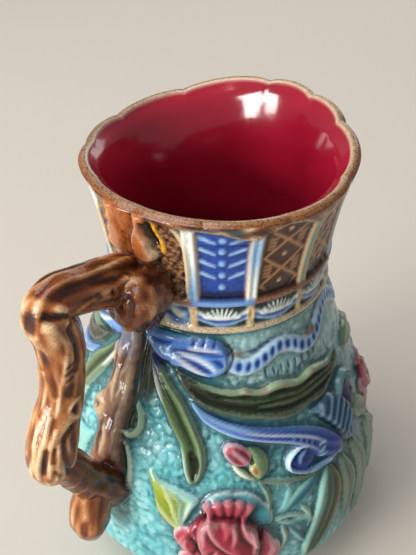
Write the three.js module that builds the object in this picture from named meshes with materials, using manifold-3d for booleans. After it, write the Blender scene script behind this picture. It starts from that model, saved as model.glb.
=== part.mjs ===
// A majolica pitcher: a hollow, round-bellied body with carved leaves, a blossom and a scroll,
// a panelled neck with a scalloped mouth, and a gnarled branch for a handle, all fired as one piece.
// Millimetres, +Z up. The origin is the middle of the flat underside, the handle is at -X and the
// mouth rises towards +X.

import * as THREE from 'three';
import { mergeVertices } from 'three/addons/utils/BufferGeometryUtils.js';
import Module from 'manifold-3d';

// Heights
const HEIGHT = 200;              // flat underside to the lip above the handle
const SPOUT_RISE = 13.6;         // how much higher the lip is on the far side from the handle
const NECK_LENGTH = 55;          // from the ring where the neck begins up to the lip
const BAND_RISE = 14;            // from that ring to the middle of the plain band above the frieze
const PANEL_GAP = 3;             // from the middle of the plain band to the foot of the panels
const LIP_DEPTH = 5;             // the plain lip above the panels
const BELLY_HEIGHT = 30;         // the widest place
const FOOT_HEIGHT = 4;           // the upright edge of the foot

// Radii of the bare body, without its carving
const FOOT_RADIUS = 50;
const BELLY_RADIUS = 74;
const SHOULDER_RADIUS = 59.3;    // two thirds of the way up from the belly to the neck
const NECK_RADIUS = 45.5;
const MOUTH_RADIUS = 53.4;

// The mouth is a little wider across than from handle to spout
const MOUTH_OVAL = 2.7;
const MOUTH_SHIFT = 1.2;
const SCALLOP_DEPTH = 1.5;
const SCALLOP_LIFT = 0.8;

// Clay
const WALL = 5;
const LIP_THICKNESS = 4.5;
const FLOOR_THICKNESS = 8;

// Branch handle, in the upright plane through the axis
const HANDLE_THICKNESS = 18;
const HANDLE_STANDOFF = 45.5;    // the neck's face to the middle of the upright limb
const ELBOW_DROP = 26;           // the lip down to the middle of the upper limb
const LIMB_LENGTH = 71;          // the upper limb down to the sawn end of the upright one
const JOINT_DROP = 31;           // that sawn end down to where the branch meets the belly
const BARK_DEPTH = 0.09;         // ridges of the bark, as a share of the limb's thickness

// How fine the facets are
const COLUMNS = 84;
const BODY_ROWS = 28;

const DEG = Math.PI / 180;
const wasm = await Module();
wasm.setup();

const clamp = (x, low, high) => Math.min(high, Math.max(low, x));
const mix = (a, b, t) => a + (b - a) * t;

function smooth(from, to, x) {
  const t = clamp((x - from) / (to - from), 0, 1);
  return t * t * (3 - 2 * t);
}

// Smooth curve of a value over a height, through the given [height, value] pairs.
function curveThrough(pairs) {
  const slope = (i) => (pairs[i + 1][1] - pairs[i][1]) / (pairs[i + 1][0] - pairs[i][0]);
  const last = pairs.length - 1;
  const tangents = pairs.map((_, i) => {
    if (i === 0) return slope(0);
    if (i === last) return slope(last - 1);
    const before = slope(i - 1);
    const after = slope(i);
    return before * after <= 0 ? 0 : 2 * before * after / (before + after);
  });
  return (x) => {
    let i = 0;
    while (i < last - 1 && x > pairs[i + 1][0]) i += 1;
    const step = pairs[i + 1][0] - pairs[i][0];
    const t = clamp((x - pairs[i][0]) / step, 0, 1);
    const a = 1 + 2 * t;
    const back = 1 - t;
    return pairs[i][1] * a * back * back + tangents[i] * step * t * back * back
      + pairs[i + 1][1] * t * t * (3 - 2 * t) - tangents[i + 1] * step * t * t * back;
  };
}

const NECK_HEIGHT = HEIGHT - NECK_LENGTH;
const BAND_HEIGHT = NECK_HEIGHT + BAND_RISE;
const PANEL_FOOT = BAND_HEIGHT + PANEL_GAP;
const PANEL_TOP = HEIGHT - LIP_DEPTH;
const ELBOW_HEIGHT = HEIGHT - ELBOW_DROP;
const STUMP_HEIGHT = ELBOW_HEIGHT - LIMB_LENGTH;
const LOWER_JOINT_HEIGHT = STUMP_HEIGHT - JOINT_DROP;
const HANDLE_REACH = NECK_RADIUS + HANDLE_STANDOFF;

// The bare outer profile, from the underside to the lip above the handle
const SHOULDER_HEIGHT = mix(BELLY_HEIGHT, NECK_HEIGHT, 0.65);
const profile = curveThrough([
  [0, FOOT_RADIUS],
  [FOOT_HEIGHT, FOOT_RADIUS + 1.5],
  [mix(FOOT_HEIGHT, BELLY_HEIGHT, 0.35), mix(FOOT_RADIUS, BELLY_RADIUS, 0.55)],
  [BELLY_HEIGHT, BELLY_RADIUS],
  [mix(BELLY_HEIGHT, SHOULDER_HEIGHT, 0.34), mix(BELLY_RADIUS, SHOULDER_RADIUS, 0.08)],
  [mix(BELLY_HEIGHT, SHOULDER_HEIGHT, 0.67), mix(BELLY_RADIUS, SHOULDER_RADIUS, 0.43)],
  [SHOULDER_HEIGHT, SHOULDER_RADIUS],
  [mix(SHOULDER_HEIGHT, NECK_HEIGHT, 0.58), mix(SHOULDER_RADIUS, NECK_RADIUS, 0.64)],
  [NECK_HEIGHT, NECK_RADIUS],
  [mix(NECK_HEIGHT, HEIGHT, 0.27), NECK_RADIUS + 0.5],
  [mix(NECK_HEIGHT, HEIGHT, 0.64), mix(NECK_RADIUS, MOUTH_RADIUS, 0.42)],
  [HEIGHT, MOUTH_RADIUS],
]);

// The carving is drawn on a body whose neck ring is at this height, and follows the real one.
const CARVING_NECK_HEIGHT = 145;
const drawnHeight = (z) => z * CARVING_NECK_HEIGHT / NECK_HEIGHT;

// Bearings are degrees round the axis from the handle. Both sides of the handle are alike.
const SCALLOP_NOTCHES = [-28, 5, 35, 68, 103, 141, 166, 193, 238, 273, 299, 332];
const SCALLOP_FRONT = 0.35;      // how deep the scallops are on the handle's side

// Outward bulge of the lip between two notches, from -1 at a notch to +0.5 between them
function scallop(bearing) {
  const b = ((bearing + 28) % 360 + 360) % 360 - 28;
  let i = 0;
  while (b > SCALLOP_NOTCHES[i + 1]) i += 1;
  const t = (b - SCALLOP_NOTCHES[i]) / (SCALLOP_NOTCHES[i + 1] - SCALLOP_NOTCHES[i]);
  const farSide = 0.5 - 0.5 * Math.cos(bearing * DEG);
  return (1.5 * Math.sqrt(Math.sin(Math.PI * t)) - 1) * mix(SCALLOP_FRONT, 1, farSide);
}

// How far up the flare of the neck a height is, from 0 at the ring to 1 at the lip
const flare = (z) => clamp((z - NECK_HEIGHT) / (HEIGHT - NECK_HEIGHT), 0, 1);

function mouthSwing(bearing, z) {
  const fromSpout = (bearing - 180) * DEG;
  const oval = -MOUTH_OVAL * Math.cos(2 * fromSpout) - MOUTH_SHIFT * Math.cos(fromSpout);
  const notch = SCALLOP_DEPTH * scallop(bearing);
  return oval * flare(z) ** 2 + notch * smooth(0.7, 1, flare(z));
}

function lift(bearing, z) {
  const spoutShare = (1 - Math.cos(bearing * DEG)) / 2;
  const wave = SCALLOP_LIFT * scallop(bearing) * smooth(0.8, 1, flare(z));
  return SPOUT_RISE * spoutShare ** 3 * flare(z) ** 1.3 + wave;
}

// A bar of carving along a spine of [bearing, height] points. The width and the height of the
// carving vary along the spine, and its cross-section is one of the shapes below.
const SECTIONS = {
  round: (u) => Math.sqrt(Math.max(0, 1 - u * u)),
  cupped: (u) => (Math.abs(u) > 1 ? 0 : (0.62 + 0.38 * u * u) * (1 - smooth(0.8, 1, Math.abs(u)))),
  ridged: (u) => (Math.abs(u) > 1 ? 0 : (0.8 + 0.2 * Math.cos(3 * Math.PI * u)) * (1 - u ** 6)),
  flat: (u) => 1 - smooth(0.75, 1.05, Math.abs(u)),
};

const WIDTHS = {
  leaf: (t) => Math.max(0.05, Math.sin(Math.PI * t ** 0.8)) ** 0.7,
  horn: (t) => mix(0.2, 1, smooth(0, 0.8, t)),
  even: () => 1,
};

function spinePoints(spine) {
  const curve = new THREE.CatmullRomCurve3(spine.map(([b, z]) => new THREE.Vector3(b, z, 0)));
  return curve.getPoints(spine.length * 5);
}

// Nearest place on a spine: how far along it, and how far off it in millimetres
function nearest(points, bearing, z, radius) {
  const perDegree = radius * DEG;
  let best = { off: Infinity, along: 0 };
  for (let i = 0; i < points.length - 1; i += 1) {
    const ax = (points[i].x - bearing) * perDegree;
    const ay = points[i].y - z;
    const dx = (points[i + 1].x - points[i].x) * perDegree;
    const dy = points[i + 1].y - points[i].y;
    const t = clamp(-(ax * dx + ay * dy) / (dx * dx + dy * dy), 0, 1);
    const off = Math.hypot(ax + dx * t, ay + dy * t);
    if (off < best.off) best = { off, along: (i + t) / (points.length - 1) };
  }
  return best;
}

function bar({ spine, half, height, width = 'leaf', section = 'cupped' }) {
  const points = spinePoints(spine);
  return (bearing, z, radius) => {
    const { off, along } = nearest(points, bearing, z, radius);
    return height * SECTIONS[section](off / (half * WIDTHS[width](along)));
  };
}

// A blossom: a tight heart and rings of overlapping petals round it, each a rounded boss
function blossom({ at, across, tall, height, petals }) {
  const bosses = [{ b: at[0], z: at[1], x: across * 0.42, y: tall * 0.42, h: height }];
  for (let i = 0; i < petals; i += 1) {
    const turn = (i + 0.5) / petals * 2 * Math.PI;
    bosses.push({
      b: at[0] + across * 0.6 * Math.cos(turn) / (BELLY_RADIUS * DEG),
      z: at[1] + tall * 0.6 * Math.sin(turn),
      x: across * 0.42,
      y: tall * 0.42,
      h: height * 0.72,
    });
  }
  return (bearing, z, radius) => {
    let high = 0;
    for (const boss of bosses) {
      const u = (bearing - boss.b) * radius * DEG / boss.x;
      const v = (z - boss.z) / boss.y;
      high = Math.max(high, boss.h * SECTIONS.round(Math.hypot(u, v)));
    }
    return high;
  };
}

// A fluted shell: ribs that spread from a hinge, over a half turn or less
function shell({ at, reach, from, to, ribs, height }) {
  return (bearing, z, radius) => {
    const x = (bearing - at[0]) * radius * DEG;
    const y = z - at[1];
    const off = Math.hypot(x, y) / reach;
    const turn = Math.atan2(y, x) / DEG;
    const share = (turn - from) / (to - from);
    if (off > 1 || share < 0 || share > 1) return 0;
    const ribbing = 0.75 + 0.25 * Math.cos(2 * Math.PI * ribs * (share - 0.5));
    return height * ribbing * SECTIONS.flat(off) * smooth(0, 0.25, off);
  };
}

// A volute: a spiral roll that rises from its rim to its eye
function volute({ at, size, turns, height }) {
  return (bearing, z, radius) => {
    const x = (bearing - at[0]) * radius * DEG;
    const y = z - at[1];
    const off = Math.hypot(x, y) / size;
    if (off > 1) return 0;
    const roll = 0.8 + 0.2 * Math.cos(2 * Math.PI * turns * off + Math.atan2(y, x));
    return height * roll * SECTIONS.flat(off);
  };
}

// Carving that is the same on both sides of the handle, from the shoulder down
const SIDE_CARVING = [
  // a lobed head and the spotted strap that runs on from it under the neck
  bar({ spine: [[6, 137], [24, 136], [43, 131]], half: 7.5, height: 3.6, section: 'round' }),
  bar({
    spine: [[46, 131], [57, 133.5], [68, 136], [87, 130], [98, 137], [107, 141], [116, 138],
      [130, 130], [144, 136], [156, 140], [180, 134]],
    half: 3.6, height: 2.4, width: 'even', section: 'flat',
  }),
  // the long leaf across the shoulder and the hanging one beside the handle
  bar({ spine: [[14, 127], [38, 117], [60, 112.5], [82, 114.5], [108, 120]], half: 8.6, height: 4 }),
  bar({ spine: [[8, 132], [17, 116], [26, 102], [33, 90], [31, 78]], half: 6, height: 4.6 }),
  // the scroll, its volutes and its fluted shell
  bar({
    spine: [[30, 113], [46, 106], [62, 100], [80, 90]],
    half: 8.5, height: 4.4, width: 'horn', section: 'ridged',
  }),
  volute({ at: [72, 86], size: 8.5, turns: 2, height: 5 }),
  shell({ at: [86, 80], reach: 28, from: 10, to: 112, ribs: 5, height: 4 }),
  volute({ at: [102, 101], size: 6.5, turns: 1, height: 4.4 }),
  // the bud, the large blossom and the leaves below
  bar({ spine: [[44, 97], [48, 94], [56, 84]], half: 6, height: 4.2, section: 'round' }),
  blossom({ at: [43, 57], across: 22, tall: 25, height: 7.5, petals: 6 }),
  bar({ spine: [[13, 84], [20, 75], [26, 66], [28, 55]], half: 7.5, height: 3 }),
  bar({ spine: [[82, 76], [86, 62], [80, 46], [77, 26]], half: 7.5, height: 4 }),
  bar({ spine: [[95, 78], [101, 55], [96, 30]], half: 5, height: 3 }),
  // the far side: a smaller blossom among plainer leaves, and a large blossom below the spout
  blossom({ at: [127, 86], across: 13, tall: 13, height: 6, petals: 5 }),
  bar({ spine: [[112, 114], [126, 113], [142, 106], [156, 96]], half: 7.5, height: 3.6 }),
  bar({ spine: [[112, 72], [124, 56], [126, 32]], half: 7.5, height: 3.6 }),
  bar({ spine: [[164, 120], [150, 88], [146, 58], [150, 30]], half: 8, height: 4 }),
  blossom({ at: [180, 60], across: 19, tall: 19, height: 6, petals: 6 }),
];

// A shell under the spout, on the far side from the handle
const SPOUT_SHELL = shell({ at: [180, 90], reach: 28, from: 20, to: 160, ribs: 5, height: 3.6 });

// A knotty branch that climbs the body behind the handle. A root above it spreads up to the lip:
// its heights are measured down from there.
const BODY_BRANCH = [
  bar({
    spine: [[-8, 134], [-6, 118], [-7, 104], [-5, 92], [-8, 80], [-8, 62]],
    half: 7.5, height: 5, width: 'even', section: 'round',
  }),
  bar({ spine: [[-16, 106], [-12, 101], [-8, 99]], half: 6, height: 5, section: 'round' }),
];
const LIP_ROOT = bar({
  spine: [[0, -34], [2, -18], [10, -3]], half: 11, height: 4.5, width: 'even', section: 'round',
});

// Upright posts between the panels of the neck, and where each panel's fan stands in the frieze
const POSTS = [27.5, 56, 84, 112, 147];
const POST_WIDTH = 3.4;
const POST_HEIGHT = 1.3;
const FAN_REACH = 9;
const FAN_HEIGHT = 1.6;
const RING_HEIGHT = 1.8;
const RING_WIDTH = 4.4;
const LIP_ROLL = 1;

const fans = POSTS.slice(0, -1).map((post, i) => shell({
  at: [(post + POSTS[i + 1]) / 2, NECK_HEIGHT + 3], reach: FAN_REACH, from: 8, to: 172, ribs: 5,
  height: FAN_HEIGHT,
}));

function neckCarving(side, z, radius) {
  let high = 0;
  for (const ring of [NECK_HEIGHT, BAND_HEIGHT]) {
    const u = (z - ring) / (RING_WIDTH / 2);
    high = Math.max(high, RING_HEIGHT * SECTIONS.round(u));
  }
  if (z > PANEL_FOOT - 1 && z < HEIGHT - 1) {
    for (const post of POSTS) {
      const u = (side - post) * radius * DEG / (POST_WIDTH / 2);
      high = Math.max(high, POST_HEIGHT * SECTIONS.round(u * 0.8));
    }
  }
  for (const fan of fans) high = Math.max(high, fan(side, z, radius));
  return Math.max(high, LIP_ROLL * smooth(PANEL_TOP - 1, PANEL_TOP + 1, z));
}

// How proud the carving stands at one spot
function carvingAt(bearing, z) {
  const turn = ((bearing + 180) % 360 + 360) % 360 - 180;
  const side = Math.abs(turn);
  const radius = profile(z);
  const y = drawnHeight(z);
  if (z > NECK_HEIGHT - RING_WIDTH / 2) {
    return Math.max(LIP_ROOT(side, z - HEIGHT, radius), neckCarving(side, z, radius));
  }
  let high = SPOUT_SHELL(side, y, radius);
  for (const piece of SIDE_CARVING) high = Math.max(high, piece(side, y, radius));
  for (const piece of BODY_BRANCH) high = Math.max(high, piece(turn, y, radius));
  return high * smooth(FOOT_HEIGHT, FOOT_HEIGHT + 10, z);
}

// The carving's mean over about one facet, so that edges between facets stay calm
function carving(bearing, z) {
  const across = 360 / COLUMNS / 3;
  const along = z < NECK_HEIGHT - RING_WIDTH ? (NECK_HEIGHT - FOOT_HEIGHT) / BODY_ROWS / 3 : 0;
  let sum = 0;
  for (const i of [-1, 0, 1]) {
    for (const j of [-1, 0, 1]) sum += carvingAt(bearing + i * across, z + j * along);
  }
  return sum / 9;
}

// A point on the body: the bare profile, moved out along its own normal
function bodyPoint(bearing, z, out) {
  const step = 0.5;
  const slope = (profile(Math.min(HEIGHT, z + step)) - profile(Math.max(0, z - step))) / (2 * step);
  const length = Math.hypot(1, slope);
  const r = profile(z) + mouthSwing(bearing, z) + out / length;
  const height = z + lift(bearing, z) - (z > FOOT_HEIGHT ? out * slope / length : 0);
  const turn = (bearing - 180) * DEG;
  return [r * Math.cos(turn), r * Math.sin(turn), height];
}

// A ring of points, one for each of a number of bearings
function ringOf(count, place) {
  return [...Array(count).keys()].map((column) => place(column / count * 360));
}

function outerRings() {
  const halfRing = RING_WIDTH / 2;
  const heights = [0, FOOT_HEIGHT];
  for (let i = 1; i <= BODY_ROWS; i += 1) {
    heights.push(mix(FOOT_HEIGHT, NECK_HEIGHT - halfRing, i / BODY_ROWS));
  }
  heights.push(NECK_HEIGHT - halfRing + 0.8, NECK_HEIGHT, NECK_HEIGHT + halfRing);
  heights.push(mix(NECK_HEIGHT + halfRing, BAND_HEIGHT - halfRing, 0.5));
  heights.push(BAND_HEIGHT - halfRing, BAND_HEIGHT - 1, BAND_HEIGHT + 1, PANEL_FOOT);
  for (let i = 1; i <= 3; i += 1) heights.push(mix(PANEL_FOOT, PANEL_TOP - 1, i / 3));
  heights.push(PANEL_TOP + 1);
  return heights.map((z) => ringOf(
    COLUMNS, (bearing) => bodyPoint(bearing, z, z > 0 ? carving(bearing, z) : 0)));
}

// The rounded lip, from its outer edge over the top to its inner edge
function lipRings() {
  const bend = LIP_THICKNESS / 2;
  return [60, 120, 180].map((turn) => ringOf(COLUMNS, (bearing) => {
    const out = LIP_ROLL - bend + bend * Math.cos(turn * DEG);
    const [x, y, z] = bodyPoint(bearing, HEIGHT, out);
    return [x, y, z - bend + bend * Math.sin(turn * DEG)];
  }));
}

// The smooth inside wall, down to the floor
function innerRings() {
  const heights = [HEIGHT - 14, HEIGHT - 32, NECK_HEIGHT, mix(NECK_HEIGHT, BELLY_HEIGHT, 0.35),
    mix(NECK_HEIGHT, BELLY_HEIGHT, 0.7), BELLY_HEIGHT + 6, FLOOR_THICKNESS + 7];
  const count = COLUMNS / 2;
  const rings = heights.map((z) => ringOf(count, (bearing) => bodyPoint(bearing, z, -WALL)));
  const floor = ringOf(count, (bearing) => {
    const turn = (bearing - 180) * DEG;
    const r = FOOT_RADIUS - WALL;
    return [r * Math.cos(turn), r * Math.sin(turn), FLOOR_THICKNESS];
  });
  return [...rings, floor];
}

// A closed skin over rings of points, with a middle point at each end. Each four-sided facet is
// split along the diagonal that bends least, so that ridges stay crisp, and a ring may have half
// as many points as the one before it.
function skin(rings, first, last) {
  const positions = rings.flat(2);
  const index = [];
  const starts = [];
  rings.reduce((start, ring) => {
    starts.push(start);
    return start + ring.length;
  }, 0);
  const at = (row, column) => starts[row] + (column % rings[row].length);
  const out = (i) => Math.hypot(positions[3 * i], positions[3 * i + 1]);
  for (let row = 0; row < rings.length - 1; row += 1) {
    const halved = rings[row + 1].length < rings[row].length;
    for (let column = 0; column < rings[row + 1].length; column += 1) {
      const d = at(row + 1, column);
      const c = at(row + 1, column + 1);
      if (halved) {
        const [a, m, b] = [0, 1, 2].map((step) => at(row, 2 * column + step));
        index.push(a, m, d, m, c, d, m, b, c);
      } else {
        const a = at(row, column);
        const b = at(row, column + 1);
        const bendsLess = Math.abs(out(a) - out(c)) <= Math.abs(out(b) - out(d));
        index.push(...(bendsLess ? [a, b, c, a, c, d] : [a, b, d, b, c, d]));
      }
    }
  }
  const end = rings.length - 1;
  const middle = positions.length / 3;
  positions.push(...first, ...last);
  rings[0].forEach((_, column) => index.push(middle, at(0, column + 1), at(0, column)));
  rings[end].forEach((_, column) => index.push(middle + 1, at(end, column), at(end, column + 1)));
  const geometry = new THREE.BufferGeometry();
  geometry.setAttribute('position', new THREE.Float32BufferAttribute(positions, 3));
  geometry.setIndex(index);
  return geometry;
}

function vesselGeometry() {
  return skin([...outerRings(), ...lipRings(), ...innerRings()], [0, 0, 0], [0, 0, FLOOR_THICKNESS]);
}

// The space inside, grown half way into the wall: what a limb let into the wall must not enter
function hollowGeometry() {
  const outline = [[0, FLOOR_THICKNESS / 2]];
  const low = FLOOR_THICKNESS / 2;
  for (const z of [low + 6, BELLY_HEIGHT, SHOULDER_HEIGHT, NECK_HEIGHT, PANEL_FOOT, PANEL_TOP]) {
    outline.push([profile(z) - WALL / 2 - 1, z]);
  }
  outline.push([0, PANEL_TOP]);
  const points = outline.map(([r, z]) => new THREE.Vector2(r, z));
  const lathe = new THREE.LatheGeometry(points, 36);
  lathe.rotateX(Math.PI / 2);
  return lathe;
}

// A limb of the branch: rings of a ridged section along a curve in the handle's own plane, given
// as [out, height, thickness as a share of the handle's] with an optional step to the side.
function limbGeometry(stations, { sides, steps, ridges, twist }) {
  const path = new THREE.CatmullRomCurve3(
    stations.map(([out, z, , aside = 0]) => new THREE.Vector3(-out, -aside, z)), false, 'centripetal');
  const share = (t) => {
    const place = t * (stations.length - 1);
    const i = Math.min(stations.length - 2, Math.floor(place));
    return mix(stations[i][2], stations[i + 1][2], smooth(0, 1, place - i));
  };
  const rings = [];
  for (let step = 0; step <= steps; step += 1) {
    const t = step / steps;
    const middle = path.getPoint(t);
    const ahead = path.getTangent(t);
    const aside = new THREE.Vector3(0, 1, 0);
    const up = new THREE.Vector3().crossVectors(aside, ahead).normalize();
    const ring = [];
    for (let side = 0; side < sides; side += 1) {
      const turn = side / sides * 2 * Math.PI;
      const bark = 1 + BARK_DEPTH * Math.cos(ridges * turn + twist * t * 2 * Math.PI)
        + 0.5 * BARK_DEPTH * Math.cos(2 * turn + 9 * t);
      const reach = HANDLE_THICKNESS / 2 * share(t) * bark;
      ring.push(middle.clone().addScaledVector(aside, -reach * Math.cos(turn))
        .addScaledVector(up, reach * Math.sin(turn)).toArray());
    }
    rings.push(ring);
  }
  return skin(rings, path.getPoint(0).toArray(), path.getPoint(1).toArray());
}

// The upright limb: out of the neck, over the elbow and down to its sawn end
function mainLimb() {
  const reach = HANDLE_REACH;
  const root = NECK_RADIUS - WALL * 0.6;
  return limbGeometry([
    [root, ELBOW_HEIGHT - 18, 1.15, 3],
    [NECK_RADIUS + 11, ELBOW_HEIGHT - 6, 1.2, 1],
    [NECK_RADIUS + 22, ELBOW_HEIGHT - 2, 1.1],
    [reach - 13, ELBOW_HEIGHT, 1.05],
    [reach - 2, ELBOW_HEIGHT + 1, 1.02],
    [reach + 3.5, ELBOW_HEIGHT - 5, 0.98],
    [reach, mix(ELBOW_HEIGHT, STUMP_HEIGHT, 0.24), 0.93],
    [reach - 0.5, mix(ELBOW_HEIGHT, STUMP_HEIGHT, 0.4), 0.9],
    [reach, mix(ELBOW_HEIGHT, STUMP_HEIGHT, 0.55), 0.97],
    [reach + 4, mix(ELBOW_HEIGHT, STUMP_HEIGHT, 0.7), 1.05],
    [reach + 8, mix(ELBOW_HEIGHT, STUMP_HEIGHT, 0.84), 1.18],
    [reach + 11, mix(ELBOW_HEIGHT, STUMP_HEIGHT, 0.95), 1.14],
    [reach + 12, STUMP_HEIGHT - 5, 0.75],
  ], { sides: 12, steps: 26, ridges: 3, twist: 0.6 });
}

// The lower limb, from the upright one back to the body
function lowerLimb() {
  return limbGeometry([
    [HANDLE_REACH + 8, STUMP_HEIGHT + 4, 0.75],
    [HANDLE_REACH + 2, STUMP_HEIGHT - 7, 0.84],
    [HANDLE_REACH - 5, mix(STUMP_HEIGHT, LOWER_JOINT_HEIGHT, 0.6), 0.84],
    [HANDLE_REACH - 13, LOWER_JOINT_HEIGHT + 3, 0.95],
    [profile(LOWER_JOINT_HEIGHT) - WALL * 0.4, LOWER_JOINT_HEIGHT - 4, 1.1],
  ], { sides: 10, steps: 9, ridges: 3, twist: 0.4 });
}

// The stub that hangs below it, against the body
function hangingStub() {
  return limbGeometry([
    [HANDLE_REACH - 10, LOWER_JOINT_HEIGHT + 4, 0.85],
    [HANDLE_REACH - 5.5, LOWER_JOINT_HEIGHT - 8, 0.98],
    [HANDLE_REACH - 4, LOWER_JOINT_HEIGHT - 17, 0.95],
    [HANDLE_REACH - 4.5, LOWER_JOINT_HEIGHT - 25, 0.55],
  ], { sides: 10, steps: 8, ridges: 2, twist: 0.3 });
}

// The sawn boss where the branch leaves the neck, and a lesser knot on top of it
function knot(out, aside, z, share) {
  const geometry = new THREE.IcosahedronGeometry(HANDLE_THICKNESS / 2 * share, 2);
  geometry.translate(-out, -aside, z);
  return geometry;
}

function solid(geometry) {
  const bare = geometry.index ? geometry : geometry.clone();
  bare.deleteAttribute('normal');
  bare.deleteAttribute('uv');
  const merged = mergeVertices(bare, 1e-4);
  return new wasm.Manifold(new wasm.Mesh({
    numProp: 3,
    vertProperties: new Float32Array(merged.attributes.position.array),
    triVerts: new Uint32Array(merged.index.array),
  }));
}

function toGeometry(manifold) {
  const { vertProperties, triVerts } = manifold.getMesh();
  const geometry = new THREE.BufferGeometry();
  geometry.setAttribute('position', new THREE.BufferAttribute(vertProperties, 3));
  geometry.setIndex(new THREE.BufferAttribute(triVerts, 1));
  return geometry;
}

function pitcherGeometry() {
  const branch = [
    lowerLimb(),
    hangingStub(),
    knot(NECK_RADIUS + 4, 7, ELBOW_HEIGHT - 14, 1.12),
    knot(NECK_RADIUS + 6, 2, ELBOW_HEIGHT + 1, 0.8),
  ].reduce((whole, limb) => whole.add(solid(limb)), solid(mainLimb()));
  return toGeometry(solid(vesselGeometry()).add(branch.subtract(solid(hollowGeometry()))));
}

const glazedEarthenware = new THREE.MeshStandardMaterial({
  color: 0x4fa3a0, roughness: 0.12, metalness: 0,
});

const pitcher = new THREE.Mesh(pitcherGeometry(), glazedEarthenware);
pitcher.name = 'pitcher';

const model = new THREE.Group();
model.add(pitcher);

export default model;
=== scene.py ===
# A majolica pitcher with a branch handle, carved in relief and glazed in many colours.
# The carving is worked out in millimetres round the axis: a bearing in degrees from the handle, and a
# height above the underside. Most forms are the same on both sides of the handle. Meshes are in metres.

import math

import bpy
import numpy as np
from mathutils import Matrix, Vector


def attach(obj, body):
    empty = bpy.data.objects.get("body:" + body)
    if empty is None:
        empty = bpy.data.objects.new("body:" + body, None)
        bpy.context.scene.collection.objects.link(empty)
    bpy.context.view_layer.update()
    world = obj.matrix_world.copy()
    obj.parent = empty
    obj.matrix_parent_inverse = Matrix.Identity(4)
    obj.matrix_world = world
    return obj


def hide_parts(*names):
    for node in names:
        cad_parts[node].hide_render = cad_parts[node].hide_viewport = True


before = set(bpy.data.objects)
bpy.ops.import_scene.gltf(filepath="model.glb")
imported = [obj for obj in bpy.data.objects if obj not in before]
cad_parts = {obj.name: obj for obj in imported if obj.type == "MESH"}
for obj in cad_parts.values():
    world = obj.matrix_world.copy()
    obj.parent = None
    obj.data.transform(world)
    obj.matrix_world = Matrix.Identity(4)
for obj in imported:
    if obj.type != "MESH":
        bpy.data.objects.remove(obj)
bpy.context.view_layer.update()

MM = 0.001
DEG = math.pi / 180

# Sizes of the bare body, as in the solid
HEIGHT = 200
SPOUT_RISE = 13.4
NECK_HEIGHT = 145
BAND_HEIGHT = 159
PANEL_FOOT = 162
PANEL_TOP = 195
FOOT_HEIGHT = 4
FOOT_RADIUS = 50
BELLY_RADIUS = 74
LEAST_RADIUS = 45  # where the neck is narrowest
MOUTH_OVAL = 2.7
MOUTH_SHIFT = 1.2
SCALLOP_DEPTH = 1.5
SCALLOP_LIFT = 0.8
WALL = 5
LIP_THICKNESS = 4.5
THICKER_BELOW = 3  # how much more than WALL some way below the lip
FLOOR_THICKNESS = 8
RING_HALF = 2.2
HALF_WIDTH = 75.3  # the box that the carving stays in
FRONT_REACH = 77.9
SQUEEZE = 6  # how late and how sharply the carving is held back from the box
HANDLE_THICKNESS = 18

PROFILE = [(0, 50), (4, 51.5), (13.1, 63.2), (30, 74), (55.4, 72.9), (80.1, 67.7), (104.75, 59.3),
           (128.1, 50.5), (145, 45.5), (159.85, 46), (180.2, 48.8), (200, 53.4)]
SCALLOP_NOTCHES = [-28, 5, 35, 68, 103, 141, 166, 193, 238, 273, 299, 332]
SCALLOP_FRONT = 0.5
LIP_ARCHES = (
    [0, 18, 26, 31, 42, 52, 56, 60, 69, 76, 83, 90, 98, 107, 113, 122, 130, 140, 147, 155, 163, 172, 180],
    [196, 196, 195.5, 196, 195.2, 191.8, 191.4, 194, 196.4, 195, 190.8, 194, 196, 194, 191, 194.5, 196,
     194, 191, 194.5, 196, 194.5, 191])

# How fine the mesh is, where it is finest, and samples of the carving per point each way
COLUMNS = 372
COLUMN_BEARINGS = ([0, 59, 214, 247, 372], [-52, 4, 100, 130, 308])
BODY_ROWS = ([0, 27, 52, 105, 122], [26, 60, 85, 125, 142.8])
SAMPLES = 3


def srgb(red, green, blue):
    """A colour given as on a paint card, 0 to 255, in the linear values that the nodes use."""
    c = np.array([red, green, blue]) / 255
    return np.where(c < 0.04045, c / 12.92, ((c + 0.055) / 1.055) ** 2.4)


# Glazes
AQUA = srgb(96, 178, 182)
PALE_AQUA = srgb(172, 214, 212)
TEAL = srgb(18, 96, 112)
GREY_GREEN = srgb(96, 122, 112)
MIST = srgb(160, 182, 178)
BLUE = srgb(20, 62, 150)
MID_BLUE = srgb(62, 114, 190)
PALE_BLUE = srgb(142, 184, 220)
NAVY = srgb(8, 20, 84)
WHITE = srgb(218, 224, 218)
CREAM = srgb(214, 206, 172)
DARK_LEAF = srgb(24, 32, 16)
LEAF = srgb(48, 74, 38)
MID_LEAF = srgb(98, 124, 78)
PALE_LEAF = srgb(164, 186, 152)
OLIVE = srgb(66, 66, 30)
LIME = srgb(150, 166, 36)
CRIMSON = srgb(122, 18, 38)
ROSE = srgb(168, 52, 74)
PINK = srgb(214, 146, 158)
BROWN = srgb(118, 60, 28)
DARK_BROWN = srgb(52, 24, 14)
TAN = srgb(196, 142, 92)
PLUM = srgb(70, 44, 44)
ORANGE = srgb(174, 98, 48)
WORN_WOOD = srgb(126, 92, 70)
YELLOW = srgb(222, 160, 20)
INSIDE = srgb(160, 22, 46)
BISCUIT = srgb(216, 200, 172)


def clamp(x, low=0.0, high=1.0):
    return np.clip(x, low, high)


def smooth(start, stop, x):
    t = clamp((x - start) / (stop - start))
    return t * t * (3 - 2 * t)


def mix(a, b, t):
    return a + (b - a) * t


def blend(paint, other, cover):
    """A colour laid over others, by its cover at each point."""
    return mix(paint, other, cover[:, None])


DEEP_BLUE = mix(BLUE, NAVY, 0.25)


def ramp(x, stops):
    """Colours along x through the given (place, colour) stops."""
    places = [place for place, _ in stops]
    return np.stack([np.interp(x, places, [colour[i] for _, colour in stops]) for i in range(3)], -1)


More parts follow.
